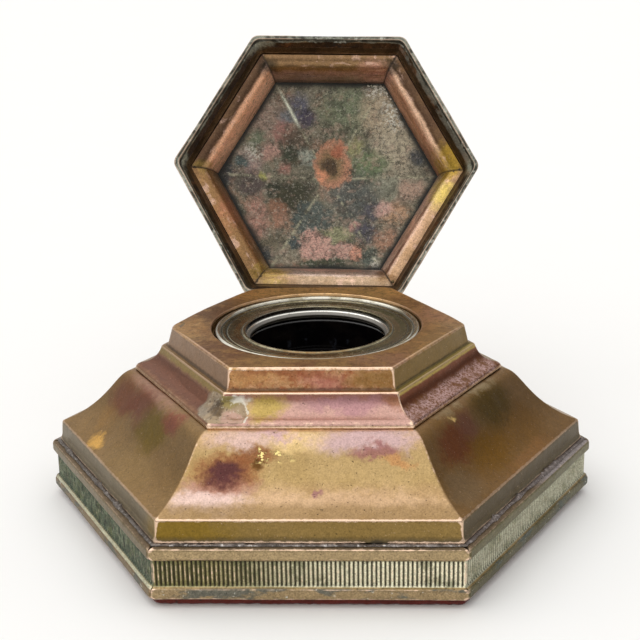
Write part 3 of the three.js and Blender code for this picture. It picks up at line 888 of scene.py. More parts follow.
def paint_front_slope(finish):
    """Mauve under the crown, partly painted highlight, a maroon heat blotch, a painted pink highlight under
    it, a broad painted highlight low across the front, and gold scratches.
    """
    front = finish.side(0)
    finish.paint(finish.both(front, finish.level(28, 36, 4, 1.5)), (176, 150, 98), strength=0.65)
    finish.blotches(
        # painted highlight: a broad pale band low across the front
        ((6, -62, 25.4), (26, 8, 2.0), (206, 172, 138), 0.6),
        # pale and mauve band under the crown: partly tarnish, partly painted highlight
        ((-3, -50.5, 38), (9, 5, 2.4), (222, 192, 134), 0.8),
        ((-16, -50.5, 38.2), (10, 5, 2.0), (206, 176, 168), 0.8),
        ((-9, -50.4, 38.8), (6, 4, 0.9), (196, 160, 172), 0.7),
        ((15, -50.5, 38), (14, 5, 2.6), (194, 164, 164), 0.9),
        ((17, -52, 35), (7, 4, 1.4), (148, 96, 96), 0.8),
        ((22, -53.5, 33), (4, 4, 1.2), (196, 136, 86), 0.6),
        ((-23, -57.6, 28), (9, 5, 2.2), (176, 132, 122), 0.75),
        # painted highlight: a pinkish white sheen under the maroon blotch
        ((-27, -61, 25.6), (11, 5, 2.2), (220, 192, 182), 0.85),
        ((-21, -55, 31.5), (8, 5, 4), (142, 84, 50), 0.85),
        ((-15, -52.5, 34.8), (6, 4, 1.9), (136, 84, 54), 0.85),
        ((-22, -55.5, 31), (5.2, 4, 3.0), (82, 50, 54), 0.9),
        ((-13.4, -53, 32.6), (1.6, 3, 1.3), (84, 52, 14), 0.8),
        ((2.3, -58.6, 27.2), (1.2, 3, 0.9), (146, 98, 106), 0.7),
        within=front,
    )
    low = finish.both(front, finish.level(SKIRT_TOP - 0.3, SKIRT_TOP + 2.2, 1.6, 0.8))
    finish.paint(low, (150, 122, 84), strength=0.8)
    scratched = finish.both(front, finish.spot((-9.5, -52, 34.2), (5.5, 4, 1.7), soft=0.8))
    flakes = finish.both(scratched, finish.clouds(1.3, 0.53, 0.60, 22, (1.6, 1, 1)))
    finish.paint(flakes, (250, 226, 150), 0.2, strength=0.9)
    finish.raise_by(flakes, -0.12)


def paint_left_slope(finish):
    """Maroon and olive clouds on the left front side, near the neck."""
    finish.blotches(
        ((-45.6, -17.1, 39), (12, 18, 2), (160, 120, 102), 0.75),
        ((-54.9, -10.1, 33.8), (7, 9, 4.4), (124, 70, 46), 0.8),
        ((-49, -20, 35), (7, 8, 4), (118, 64, 46), 0.8),
        ((-43.8, -31, 32.6), (8, 9, 4.6), (114, 92, 26), 0.85),
        ((-36.5, -35.5, 36.5), (5, 5, 2.4), (136, 74, 60), 0.8),
        ((-49.5, -37, 24.5), (13, 15, 4), (136, 110, 68), 0.5),
        ((-62, -19, 24), (3, 4, 1.8), (224, 172, 84), 0.75),
        ((-60, -10, 28), (5, 6, 3), (150, 112, 60), 0.5),
        within=finish.side(5),
    )


def paint_right_slope(finish):
    """A pale band along the crown, then reddish, olive and amber clouds."""
    finish.blotches(
        ((57, -17, 27), (10, 12, 6), (122, 86, 34), 0.6),
        ((49.5, -18.2, 35), (8, 11, 5), (86, 66, 14), 0.85),
        ((37.9, -40.4, 33), (8, 9, 4), (116, 60, 28), 0.85),
        ((46.9, -32.8, 28), (9, 10, 4.6), (122, 84, 16), 0.85),
        ((41.5, -33, 35), (4.5, 5, 3.6), (116, 72, 56), 0.7),
        ((57.5, -27.4, 22.8), (10, 18, 1.6), (140, 98, 52), 0.7),
        ((38.5, -53.4, 25), (6, 7, 4.6), (120, 98, 70), 0.7),
        ((41.5, -22, 40.2), (13, 20, 1.5), (160, 142, 108), 0.6),
        ((37.3, -35, 38.3), (1.3, 1.3, 1), (244, 206, 130), 0.8),
        within=finish.side(1),
    )


def slope_finish():
    finish = body_finish("slope_brass", 0.34)
    paint_front_slope(finish)
    paint_left_slope(finish)
    paint_right_slope(finish)
    skirt = finish.level(SKIRT_BOTTOM - 1, SKIRT_TOP - 0.3, 0.5)
    # each side's tone is partly tarnish, partly painted shade: the right front darkest
    finish.sides(
        skirt,
        [(136, 112, 62), (72, 62, 38), (116, 102, 66), (136, 114, 72), (114, 98, 66), (102, 90, 64)],
    )
    finish.blotches(((-34, -66, 20), (14, 6, 5), (132, 106, 38), 0.8), within=skirt)
    low = finish.level(SKIRT_BOTTOM - 1, SKIRT_BOTTOM + 1.1, 1.2, 0.8)
    finish.paint(low, (92, 82, 62), 0.55, 0.7, 0.7)
    roughen(finish)
    weather(finish)
    return finish.done()


def make_slope():
    outer = trace(
        [
            (SKIRT_R - 1.2, SKIRT_BOTTOM),
            (SKIRT_R, SKIRT_BOTTOM),
            (SKIRT_R - 0.7, SKIRT_BOTTOM + 1.7),
            (SKIRT_R - 1.0, SKIRT_TOP - 0.6),
            (SKIRT_R - 1.2, SKIRT_TOP),
            (60.5, SKIRT_TOP + 5.6, 60, CROWN, NECK_FOOT_R - 0.1, CROWN),
            (NECK_FOOT_R - 3.1, CROWN),
        ],
        pitch=0.6,
        fillet=0.35,
    )
    inner = trace(
        [
            (NECK_FOOT_R - 3.1, CROWN - SHEET),
            (NECK_FOOT_R, CROWN - SHEET),
            (58.8, CROWN - SHEET, 59.6, SKIRT_TOP + 4.6, SKIRT_R - 2.3, SKIRT_TOP - 0.6),
            (SKIRT_R - 1.9, SKIRT_BOTTOM + 1),
        ],
        pitch=3,
        fillet=0,
    )
    outline = np.concatenate([outer, inner])
    rounding = np.interp(outline[:, 1], [SKIRT_TOP, SKIRT_TOP + 3, CROWN], [0.4, 0.7, 0.9])
    slope = ring_solid("ogee_body", hexagon_rings(outline, rounding[:, None] * np.ones(SIDES), along=110))
    hand_worn(slope, 61, wave=0.2, ripple=0.03)
    mark_edges(slope, spread=3)
    fit(slope, "base", "body_brass", slope_finish(), "slope_shell")


CRACK = ((39.2, -17.4), (42.2, -16.4), (45.9, -18.4))  # heights and x of the crack in the front cove


def neck_finish():
    finish = body_finish("neck_brass")
    front, left, right = finish.side(0), finish.side(5), finish.side(1)
    plate = finish.level(PLATE_TOP - 0.5, PLATE_TOP + 3)
    cove = finish.level(NECK_BOTTOM + 0.5, PLATE_TOP - 6.3)
    fascia = finish.level(PLATE_TOP - 5.9, PLATE_TOP - 0.6)
    front_cove, left_cove, right_cove = (finish.both(side, cove) for side in (front, left, right))
    front_fascia = finish.both(front, fascia)
    # each side's tone is partly tarnish, partly painted shade: the right front darkest
    finish.sides(
        cove,
        [(196, 156, 146), (120, 76, 44), (150, 116, 72), (164, 130, 88), (150, 116, 74), (150, 112, 84)],
    )
    finish.sides(
        fascia,
        [(182, 136, 96), (112, 90, 46), (130, 106, 62), (150, 120, 76), (130, 106, 68), (132, 104, 80)],
    )
    finish.paint(finish.both(front_cove, finish.level(44.4, 48, 1.4, 0.8)), (150, 96, 80), 0.38, strength=0.8)
    finish.blotches(
        ((10, -42, 44), (12, 6, 1.8), (172, 128, 132), 0.8),
        ((-12.3, -42, 43.6), (5.4, 6, 3), (182, 158, 80), 0.85),
        ((24, -41, 44.5), (6, 6, 2), (150, 100, 60), 0.7),
        within=front_cove,
    )
    olive = finish.both(left_cove, finish.level(44.6, 48, 1.2, 0.8))
    finish.paint(olive, (132, 112, 56), strength=0.8)
    maroon = finish.both(left_cove, finish.level(40.6, 44.4, 1.4, 1.0))
    finish.paint(maroon, (108, 66, 52), 0.38, strength=0.8)
    # lilac tarnish and painted highlight: a pale band across the middle of the right cove
    lilac_and_highlight = finish.both(
        right_cove, finish.level(39.6, 42.8, 1.6, 1.2), finish.clouds(4, 0.36, 0.54, 37)
    )
    finish.patches(lilac_and_highlight, (0.6, 0.36, 0.58, 40), (196, 160, 156), 0.26, strength=0.85)
    finish.paint(finish.both(right_cove, finish.level(42.8, 48, 1.2, 0.8)), (104, 54, 32), 0.3, strength=0.8)
    finish.paint(finish.both(right, finish.level(45.6, 47, 0.6, 0.3)), (176, 156, 80), strength=0.7)
    finish.patches(front_fascia, (2.4, 0.46, 0.6, 23), (166, 100, 66), 0.42, strength=0.75)
    finish.patches(front_fascia, (0.9, 0.50, 0.62, 43, (2, 1, 1)), (206, 160, 122), 0.3, strength=0.5)
    finish.patches(front_fascia, (1.5, 0.52, 0.62, 44), (128, 66, 34), 0.44, strength=0.5)
    finish.blotches(
        ((4, -37.5, 49), (6, 5, 3), (186, 120, 110), 0.6),
        ((-16, -37.5, 50), (9, 5, 2), (196, 150, 96), 0.6),
        ((17, -37.5, 49.5), (8, 5, 2), (142, 108, 60), 0.75),
        ((-6, -37.5, 51), (12, 5, 1.2), (150, 92, 62), 0.7),
        within=front_fascia,
    )
    paint_plate(finish, plate)
    roughen(finish)
    weather(finish)
    paint_repair(finish)
    return finish.done()


def paint_plate(finish, plate):
    """The golden top plate, browned by hands round the collar, with painted light behind the collar where the
    open lid shades it.
    """
    finish.paint(plate, (180, 142, 88), 0.36, strength=0.9)
    finish.patches(plate, (9, 0.42, 0.62, 24), (150, 106, 72), 0.40, strength=0.8)
    finish.blotches(
        # painted light: a bright golden blotch behind the collar, against the open lid's shadow
        ((0, 35, 52), (42, 12, 8), (244, 196, 120), 0.85),
        ((-33, 12, 52), (9, 14, 8), (118, 80, 48), 0.8),
        ((-27, -24, 52), (12, 9, 8), (128, 88, 62), 0.8),
        ((-36, -3, 52), (5, 8, 8), (188, 138, 72), 0.7),
        ((34, -14, 52), (10, 9, 8), (166, 132, 80), 0.7),
        ((36, 8, 52), (8, 8, 8), (198, 148, 116), 0.6),
        ((22, -31, 52), (12, 5, 8), (176, 130, 102), 0.7),
        within=plate,
    )
    finish.patches(plate, (3.5, 0.48, 0.64, 42), (212, 166, 104), 0.3, strength=0.5)
    finish.patches(plate, (1.8, 0.50, 0.62, 38), (112, 76, 46), 0.46, strength=0.5)
    finish.patches(plate, (0.7, 0.55, 0.66, 25), (112, 86, 62), 0.55, strength=0.4)


def paint_repair(finish):
    """A thin skin of solder over the front left corner of the cove, edged by a chalky crack."""
    patch = finish.step(finish.edge("patch"), 0.4, 0.6)
    finish.paint(patch, (158, 138, 112), 0.34, 0.9)
    finish.blotches(
        ((-21.5, -41, 44.8), (3.4, 4, 1.6), (140, 126, 70), 0.8),
        ((-21, -44, 41), (3, 4, 1.6), (188, 152, 138), 0.8),
        ((-25.2, -40.5, 42.5), (1.6, 3, 4), (76, 60, 42), 0.8),
        ((-29, -38, 40.8), (2.6, 3.4, 1.4), (156, 142, 124), 0.8),
        within=patch,
    )
    finish.patches(patch, (1.0, 0.58, 0.66, 27), (70, 56, 40), 0.7, 0.3, 0.7)
    finish.patches(patch, (0.8, 0.58, 0.64, 28), (206, 196, 176), 0.5, 0.5, 0.5)
    finish.blotches(((-18.8, -39.8, 45.4), (2.2, 2.4, 0.9), (226, 220, 206), 0.9))
    torn = finish.maths("MULTIPLY_ADD", finish.noise(0.8, 3.0, 29), 0.5, finish.edge("crack"))
    finish.paint(finish.step(torn, 0.42, 0.62, 1.0, 0.0), (230, 222, 204), 0.6, 0.2, 0.9)


def neck_outline():
    """The neck's outside up to the hole in the top plate, then its inside back down."""
    ledge = PLATE_TOP - 6.1
    outer = trace(
        [
            (NECK_FOOT_R - 1.6, CROWN + 0.05),
            (NECK_FOOT_R, CROWN + 0.05),
            (NECK_FOOT_R - 0.1, NECK_BOTTOM + 0.6),
            (NECK_FOOT_R - 0.6, NECK_BOTTOM + 1.2),
            (NECK_FOOT_R - 1.6, NECK_BOTTOM + 1.6),
            (48.4, NECK_BOTTOM + 2.2, 46.6, NECK_BOTTOM + 4, 45.8, ledge - 0.3),
            (45.5, ledge),
            (44.2, ledge + 0.2),
            (43.9, ledge + 0.7),
            (43.15, PLATE_TOP - 0.5),
            (42.6, PLATE_TOP),
            (38.5, PLATE_TOP),
        ],
        pitch=0.5,
        fillet=0.3,
    )
    inner = trace(
        [
            (38.5, PLATE_TOP - SHEET),
            (42, PLATE_TOP - SHEET),
            (42.8, ledge),
            (44.6, ledge - 1),
            (50.8, NECK_BOTTOM + 0.6),
        ],
        pitch=3,
        fillet=0,
    )
    return outer, inner


def neck_rings():
    """Hexagon sections that turn into circles across the top plate, down into its hole."""
    outer, inner = neck_outline()
    low_corners = np.array([0.4, 0.8, 1.5, 1.5, 1.6, 0.4])
    top_corners = np.array([0.5, 2.2, 4.5, 4.5, 5.5, 0.5])
    outline = np.concatenate([outer, inner])
    grown = np.clip((outline[:, 1] - NECK_BOTTOM) / (PLATE_TOP - 0.5 - NECK_BOTTOM), 0, 1)[:, None] ** 2
    rings = hexagon_rings(outline, low_corners * (1 - grown) + top_corners * grown, along=110)
    edge = rings[len(outer) - 1]
    spoke = edge[:, :2] / np.linalg.norm(edge[:, :2], axis=1)[:, None]
    plate = []
    for share in np.linspace(0, 1, 14)[1:]:
        flat = (1 - share) * edge[:, :2] + share * (HOLE_R + 0.2) * spoke
        plate.append(np.column_stack([flat, np.full(len(flat), PLATE_TOP)]))
    hole = ((HOLE_R + 0.06, PLATE_TOP - 0.05), (HOLE_R, PLATE_TOP - 0.2), (HOLE_R, PLATE_TOP - SHEET))
    for radius, height in hole:
        plate.append(np.column_stack([radius * spoke, np.full(len(spoke), height)]))
    return np.concatenate([rings[: len(outer)], plate, rings[len(outer):]])


def make_neck():
    neck = ring_solid("neck_and_plate", neck_rings())
    points = places(neck)
    x, y, z = points.T
    waves = 0.14 * lattice_noise(points, 15, 71) + 0.03 * lattice_noise(points, 3, 72)
    waves *= np.clip((np.hypot(x, y) - HOLE_R) / 4, 0, 1)
    dent = 0.6 * near(points, (-43.5, 1, PLATE_TOP), (12, 14, 9))
    dent += 0.4 * near(points, (-22, 39, PLATE_TOP), (10, 9, 7))
    dent += 0.4 * near(points, (43, -1, PLATE_TOP), (8, 9, 7))
    crack_x = np.interp(z, *np.array(CRACK).T) + 0.4 * lattice_noise(points, 1.4, 73)
    low, high = NECK_BOTTOM + 0.9, PLATE_TOP - 6.6
    in_cove = (y < 0) * np.clip((z - low) / 0.3, 0, 1) * np.clip((high - z) / 0.4, 0, 1)
    spread = near(points, (-22, -41, 42.5), (13, 12, 9)) + 0.12 * lattice_noise(points, 2.6, 74)
    patch = np.clip(spread * 1.3, 0, 1) * in_cove * np.clip((crack_x - x) / 0.4, 0, 1)
    rough = 0.1 + 0.1 * lattice_noise(points, 1.3, 75) + 0.25 * near(points, (-27, -40, 41), (3, 4, 4))
    push(neck, waves - dent + np.clip((patch - 0.4) / 0.15, 0, 1) * rough)
    mark_edges(neck, spread=3)
    store(neck, "patch", patch)
    store(neck, "crack", np.clip(np.abs(x - crack_x), 0, 3) + 3 * (1 - in_cove))
    fit(neck, "base", "body_brass", neck_finish(), "neck_shell")


def solder_finish():
    """Grey metal with a skin of dirt, bright where it has been scraped."""
    finish = Finish("old_solder", (138, 130, 126), 0.42, 0.85)
    finish.paint(finish.clouds(4.5, 0.42, 0.62, 1), (98, 90, 84), 0.55, 0.7)
    finish.paint(finish.clouds(1.2, 0.54, 0.64, 2), (206, 200, 196), 0.26, 1.0, 0.8)
    finish.paint(finish.clouds(0.7, 0.58, 0.66, 3), (40, 33, 28), 0.8, 0.3, 0.9)
    finish.paint(finish.side(5), (84, 76, 68), 0.4, strength=0.65)
    finish.paint(finish.side(1), (112, 100, 96), 0.5, strength=0.5)
    roughen(finish, grain=0.25)
    finish.raise_by(finish.noise(0.7, 4.0, 4), 0.16)
    return finish.done()


def make_ledge_solder(material):
    """A lumpy bead of solder in the corner between the ledge and the skirt."""
    angle = np.linspace(0, 2 * math.pi, 12, endpoint=False)
    section = np.column_stack([SKIRT_R + 0.3 + 0.9 * np.cos(angle), LEDGE + 0.05 + 0.42 * np.sin(angle)])
    bead = ring_solid("ledge_solder", hexagon_rings(section, 0.4, along=260))
    points = places(bead)
    amount = 0.16 * lattice_noise(points, 2.4, 81) + 0.14 * lattice_noise(points, 0.9, 82) - 0.06
    height = 17  # of the bead's lumps above the desk
    for x, y in ((-59, -31), (-55, -37), (-51, -45), (-72, -9), (54, -39), (47, -52)):
        lump = near(points, (x, y, height), (2.2, 2.2, 3))
        amount += 0.6 * lump * (1 + lattice_noise(points, 0.9, 83))
    amount += 0.35 * near(points, (65, -21, height), (9, 15, 6)) * (1 + lattice_noise(points, 0.7, 84))
    push(bead, np.clip(amount, -0.3, 1.0))
    fit(bead, "base", "plinth_brass", material)


# ---- liner -----------------------------------------------------------------------------------

LINER_SHIFT = np.array([0.25, 0.1, 0])  # the loose collar lies a little to the right and back
MOUTH_R = 20.3


def collar_finish():
    finish = Finish("collar_nickel", (214, 210, 196), 0.14)
    finish.paint(finish.clouds(7, 0.45, 0.65, 1), (172, 164, 142), 0.22)
    dish = finish.both(finish.between(MOUTH_R + 0.4, COLLAR_R - 2.3), finish.level(SEAT, SEAT + 3))
    finish.paint(dish, (150, 140, 112), 0.16, strength=0.9)
    finish.patches(dish, (5, 0.42, 0.60, 2), (104, 96, 70), 0.24, 0.9, 0.8)
    finish.blotches(
        ((0, -25, SEAT), (22, 5, 9), (142, 102, 48), 0.8),
        ((-25, 0, SEAT), (5, 14, 9), (104, 100, 76), 0.8),
        ((-22, 3, SEAT), (2.4, 14, 9), (116, 92, 50), 0.7),
        ((25, 4, SEAT), (6, 15, 9), (132, 124, 98), 0.7),
        within=dish,
    )
    finish.patches(dish, (1.4, 0.54, 0.62, 6), (168, 158, 120), 0.3, 0.9, 0.5)
    finish.paint(finish.between(COLLAR_R - 3.9, COLLAR_R - 3.5, 0.2), (54, 48, 38), 0.3, strength=0.7)
    mouth = finish.between(0, MOUTH_R + 0.45, 0.1)
    finish.paint(finish.both(mouth, finish.level(SEAT - 0.4, SEAT + 0.7, 0.2)), (84, 76, 70), 0.2)
    # painted highlight: the lower band of the mouth's wall painted near white, where it catches the light
    finish.paint(finish.both(mouth, finish.level(SEAT - 1.6, SEAT - 0.4, 0.2)), (252, 250, 242), 0.12)
    finish.paint(finish.clouds(0.7, 0.58, 0.68, 3), (52, 46, 36), 0.6, 0.5, 0.6)
    rings = finish.clouds(0.5, 0.4, 0.7, 4)
    finish.raise_by(rings, 0.008)
    finish.paint(finish.step(finish.edge("grime"), 0.2, 0.6), (30, 27, 20), 0.6, 0.5, 0.9)
    finish.paint(finish.level(collar_low[2] - 1, SEAT - 0.8, 0.2), (60, 52, 42), 0.5, 0.6, 0.8)
    return finish.done()


def make_collar():
    skirt_bottom = collar_low[2]
    skirt_r = MOUTH_R + 5.6
    ring = SEAT - 2  # top of the small ring that the glass stands under
    outline = trace(
        [
            (skirt_r - 0.9, skirt_bottom + 4),
            (skirt_r - 0.9, skirt_bottom),
            (skirt_r, skirt_bottom),
            (skirt_r, SEAT - 1.9),
            (COLLAR_R - 2.9, SEAT - 1.1),
            (COLLAR_R - 1.8, SEAT + 0.02),
            (COLLAR_R - 0.2, SEAT + 0.02),
            (COLLAR_R, SEAT + 0.5),
            (COLLAR_R - 0.1, SEAT + 1.4, COLLAR_R - 1.4, SEAT + 2, COLLAR_R - 1.8, SEAT + 0.9),
            (COLLAR_R - 2.1, SEAT + 0.6),
            (COLLAR_R - 2.5, SEAT + 0.9),
            (COLLAR_R - 3.6, SEAT + 0.5),
            (COLLAR_R - 4.0, SEAT + 0.65),
            (COLLAR_R - 5.8, SEAT + 0.35),
            (MOUTH_R + 1.6, SEAT + 0.45),
            (MOUTH_R + 1.2, SEAT + 0.8, MOUTH_R + 0.5, SEAT + 0.9, MOUTH_R + 0.4, SEAT + 0.6),
            (MOUTH_R + 0.3, SEAT - 0.4),
            (MOUTH_R - 0.8, SEAT - 1.5),
            (MOUTH_R - 0.8, ring + 0.2),
            (MOUTH_R - 0.6, ring),
            (MOUTH_R - 0.6, ring - 0.4),
            (MOUTH_R, ring - 0.8),
            (skirt_r - 0.95, ring - 0.8),
        ],
        pitch=0.35,
        fillet=0.15,
    )
    collar = ring_solid("nickel_collar", round_rings(outline, 240) + LINER_SHIFT)
    push(collar, 0.02 * lattice_noise(places(collar), 6, 91))
    mark_edges(collar, spread=3, gain=0.8)
    fit(collar, "liner", "collar_nickel", collar_finish(), "liner_collar")


def glass_finish():
    """Glass so stained with ink that it looks black from above."""
    finish = Finish("stained_glass_pot", (14, 12, 14), 0.1, 0.0)
    finish.paint(finish.clouds(7, 0.42, 0.6, 1), (30, 24, 22), 0.2)
    streaks = finish.clouds(3, 0.60, 0.70, 3, (1, 1, 2.5))
    wall = finish.level(pot_low[2], POT_LIP - 6)
    finish.paint(finish.both(streaks, wall), (70, 74, 84), 0.25, strength=0.7)
    outside = finish.between(pot_high[0] - 1.2, pot_high[0] + 1)
    finish.paint(outside, (176, 196, 186), 0.06, strength=0.9)
    finish.raise_by(finish.noise(9, 2.0, 2), 0.15)
    return finish.done(Transmission_Weight=0.6, IOR=1.5, Coat_Weight=0.4, Coat_Roughness=0.05)


def ink_finish():
    finish = Finish("dried_ink", (20, 17, 22), 0.18, 0.0)
    finish.paint(finish.clouds(6, 0.45, 0.62, 1), (38, 24, 18), 0.4)
    finish.paint(finish.clouds(1.2, 0.56, 0.64, 2), (10, 8, 8), 0.7, strength=0.8)
    finish.raise_by(finish.noise(1.8, 4.0, 3), 0.2)
    return finish.done(Coat_Weight=0.6, Coat_Roughness=0.12)


def make_pot():
    bottom, lip = pot_low[2], POT_LIP
    radius, neck, bore, wall = pot_high[0], 22.6, 20.0, 3.0
    inner, floor = radius - wall, bottom + wall
    neck_foot, shoulder = lip - 8.2, lip - 13
    outline = trace(
        [
            (0.4, bottom + 0.5),
            (radius - 6, bottom + 0.5),
            (radius - 5, bottom),
            (radius - 2, bottom),
            (radius - 0.6, bottom + 0.6),
            (radius, bottom + 2),
            (radius, shoulder),
            (radius, shoulder + 2, neck, neck_foot - 2.4, neck, neck_foot),
            (neck, lip - 0.4),
            (neck - 0.5, lip),
            (bore + 0.5, lip),
            (bore, lip - 0.5),
            (bore, neck_foot - 0.6),
            (bore, neck_foot - 3, inner, shoulder + 1.4, inner, shoulder - 0.6),
            (inner, floor + 2),
            (inner - 2, floor + 0.2),
            (0.4, floor),
        ],
        pitch=1.0,
        fillet=0.5,
    )
    pot = capped_solid("ink_pot", round_rings(outline, 128) + LINER_SHIFT)
    fit(pot, "liner", "pot_glass", glass_finish(), "glass_pot")
    film = trace(
        [
            (0.4, floor + 0.15),
            (inner - 2.2, floor + 0.35),
            (inner - 0.15, floor + 2.2),
            (inner - 0.15, floor + 17),
            (inner - 0.35, floor + 17.3),
            (inner - 0.6, floor + 17),
            (inner - 1.0, floor + 4),
            (inner - 3.5, floor + 1.6),
            (0.4, floor + 1.1),
        ],
        pitch=1.2,
        fillet=0.4,
    )
    ink = capped_solid("dried_ink", round_rings(film, 128) + LINER_SHIFT)
    fit(ink, "liner", None, ink_finish())


# ---- lid: side 0 is at the top when it is open ---------------------------------------------------


def rim_finish():
    finish = old_metal("rim_brass", (114, 94, 68), (78, 64, 46), 0.42)
    inside = finish.both(finish.level(0.7, 9), finish.edge("inside"))
    finish.sides(
        inside,
        [(84, 64, 46), (84, 68, 50), (108, 88, 64), (100, 78, 56), (82, 70, 50), (66, 52, 44)],
        0.42,
    )
    finish.patches(inside, (6, 0.40, 0.62, 31), (46, 38, 32), 0.5, strength=0.75)
    finish.patches(inside, (7, 0.54, 0.66, 32), (142, 98, 66), 0.4, strength=0.6)
    finish.patches(inside, (1.8, 0.56, 0.64, 35), (30, 26, 22), 0.6, 0.5, 0.7)
    bright = finish.both(finish.edge("inside"), finish.level(0.5, 1.5, 0.4), finish.clouds(6, 0.40, 0.55, 36))
    finish.paint(bright, (214, 194, 160), 0.3, strength=0.6)
    band = finish.level(-1, 1.5, 0.4, 1.0)
    right = finish.both(finish.side(1), finish.level(-1, 3.0, 0.8, 1.0), finish.clouds(5, 0.36, 0.5, 39))
    finish.paint(right, (130, 128, 116), 0.5, 0.7, 0.75)
    for corner, size in (((-26, -45), 7), ((-50, 0), 4), ((50, 0), 4)):
        place = finish.spot((*corner, 0.8), (size, size, 3.4))
        finish.paint(place, (168, 170, 152), 0.5, 0.7, 0.9)
    finish.paint(band, (132, 134, 122), 0.44, 0.8, 0.9)
    finish.patches(band, (1.6, 0.44, 0.56, 33, (3, 3, 1)), (58, 58, 50), 0.55, 0.7, 0.9)
    finish.patches(band, (2.6, 0.56, 0.66, 34), (182, 184, 172), 0.6, 0.4, 0.8)
    roughen(finish, grain=0.26)
    weather(finish, wear=0.35, front_wear_and_highlight=0.0, held=0.8)
    finish.paint(finish.edge("seam"), (20, 16, 14), 0.8, 0.2, 0.9)
    return finish.done()


def make_rim():
    flange = RIM_TOP - 0.85
    step_r = COVE_START_R + 1.25
    outline = trace(
        [
            (LID_R - 0.7, 0),
            (LID_R - 0.1, 0),
            (LID_R, 0.15),
            (LID_R, 0.6),
            (LID_R - 0.18, 0.75),
            (LID_R, 0.9),
            (LID_R, 1.7),
            (LID_R - 0.6, 2.4),
            (LID_R - 3.0, 6.2),
            (LID_R - 3.3, RIM_TOP),
            (COVE_START_R - 0.8, RIM_TOP),
            (COVE_START_R - 0.8, flange),
            (step_r, flange),
            (step_r, COVE_FOOT - 0.65),
            (step_r + 0.55, COVE_FOOT - 1.5),
            (LID_R - 3.4, 3.2),
            (LID_R - 1.6, 1),
            (LID_R - 1.4, 0.1),
            (LID_R - 1.25, 0),
            (LID_R - 0.72, 0),
        ],
        pitch=0.45,
        fillet=0.15,
    )
    deep = np.clip(outline[:, 1] / 5, 0, 1)[:, None]
    rounding = (3.0 * (1 - deep) + 1.6 * deep) * np.ones(SIDES)
    rim = ring_solid("lid_rim_moulding", hexagon_rings(outline, rounding, along=100))
    points = places(rim)
    columns = len(points) // len(outline)
    radius = np.repeat(outline[:, 0], columns)
    height = np.repeat(outline[:, 1], columns)
    hand_worn(rim, 101, wave=0.16, ripple=0.05)
    mark_edges(rim, spread=3)
    facing_in = (radius < LID_R - 3.35 + (3.2 - height) * 0.9) & (height < flange - 0.3)
    facing_in |= (height < 3.3) & (radius < LID_R - 1.2)
    store(rim, "inside", facing_in.astype(float))
    seam = np.clip((height - COVE_FOOT + 1.9 + 0.7 * lattice_noise(points, 3, 103)) / 0.8, 0, 1)
    store(rim, "seam", seam * facing_in)
    swing_open(rim)
    fit(rim, "lid", "lid_brass", rim_finish(), "lid_rim")


# The outer, middle and inner part of each side's cove, and how metallic the inner two are. The colours are
# partly tarnish, partly painted highlight and shade: the bright middle and inner bands stand for the
# highlight along each curved cove.
COVE_TONES_AND_HIGHLIGHTS = (
    ((138, 108, 74), (130, 102, 66), (192, 154, 134), 0.85),
    ((76, 54, 38), (244, 200, 166), (184, 130, 100), 0.6),
    ((180, 146, 114), (214, 182, 158), (222, 184, 168), 0.75),
    ((186, 160, 132), (216, 192, 178), (200, 168, 156), 0.85),
    ((142, 108, 68), (152, 114, 76), (164, 128, 94), 0.85),
    ((80, 58, 42), (226, 170, 134), (244, 190, 156), 0.6),
)
CORNER_STAINS = (  # one for each of the coves' corners
    (38, 40, 34),
    (160, 130, 50),
    (120, 86, 50),
    (110, 84, 36),
    (140, 116, 60),
    (38, 40, 34),
)
CORNER_STAIN_R = 41.5


def cove_finish():
    """Inside of the lid's coves, each side with its own tarnish, painted highlight and shade, and heat
    stains.
    """
    finish = Finish("cove_brass", (190, 150, 116), 0.28, 0.85)
    for number, (outer, middle, inner, metal) in enumerate(COVE_TONES_AND_HIGHLIGHTS):
        finish.paint(finish.side(number), outer, strength=0.9)
        for share, colour in ((0.38, middle), (0.68, inner)):
            border = (COVE_START_R + share * (COVE_END_R - COVE_START_R)) * FLAT
            ragged = finish.maths("MULTIPLY_ADD", finish.noise(3.0, 4.0), 1.8, finish.reach(number))
            inwards = finish.step(ragged, border + 0.3, border + 1.5, 1.0, 0.0)
            finish.paint(finish.both(finish.side(number), inwards), colour, None, metal, 0.9)
    line = finish.level(COVE_FOOT + 1.4, COVE_FOOT + 2.4, 0.5, 0.8)
    finish.paint(finish.both(finish.side(2), line), (96, 46, 34), 0.4, strength=0.7)
    finish.blotches(
        ((16, -34, 11), (6, 5, 5), (206, 150, 134), 0.6),
        ((-18, 36, 10), (6, 5, 5), (214, 184, 96), 0.85),
        ((-34, 17, 11), (5, 9, 5), (196, 130, 100), 0.75),
        ((40, -3, 9), (5, 7, 6), (170, 136, 48), 0.85),
        ((38, 8, 10), (4, 5, 5), (214, 190, 90), 0.7),
        ((30, 22, 11), (5, 9, 4), (228, 184, 156), 0.6),
    )
    finish.paint(finish.streaks(1.3, 0.54, 0.68, 1), (96, 70, 54), 0.45, strength=0.45)
    finish.paint(finish.streaks(0.8, 0.56, 0.66, 2, 6), (236, 196, 176), 0.25, strength=0.45)
    finish.paint(finish.streaks(2.4, 0.50, 0.68, 3, 5), (150, 116, 78), 0.34, strength=0.5)
    for corner, colour in enumerate(CORNER_STAINS):
        angle = (corner - 1) * TURN
        place = (CORNER_STAIN_R * math.cos(angle), CORNER_STAIN_R * math.sin(angle), 9)
        finish.blotches((place, (2.8, 2.8, 4), colour, 0.75))
    roughen(finish, grain=0.22)
    paint_outside(finish)
    weather(finish, wear=0.0, front_wear_and_highlight=0.0, held=0.8)
    finish.paint(finish.edge("mitre"), (30, 22, 16), 0.7, 0.3, 0.85)
    return finish.done()


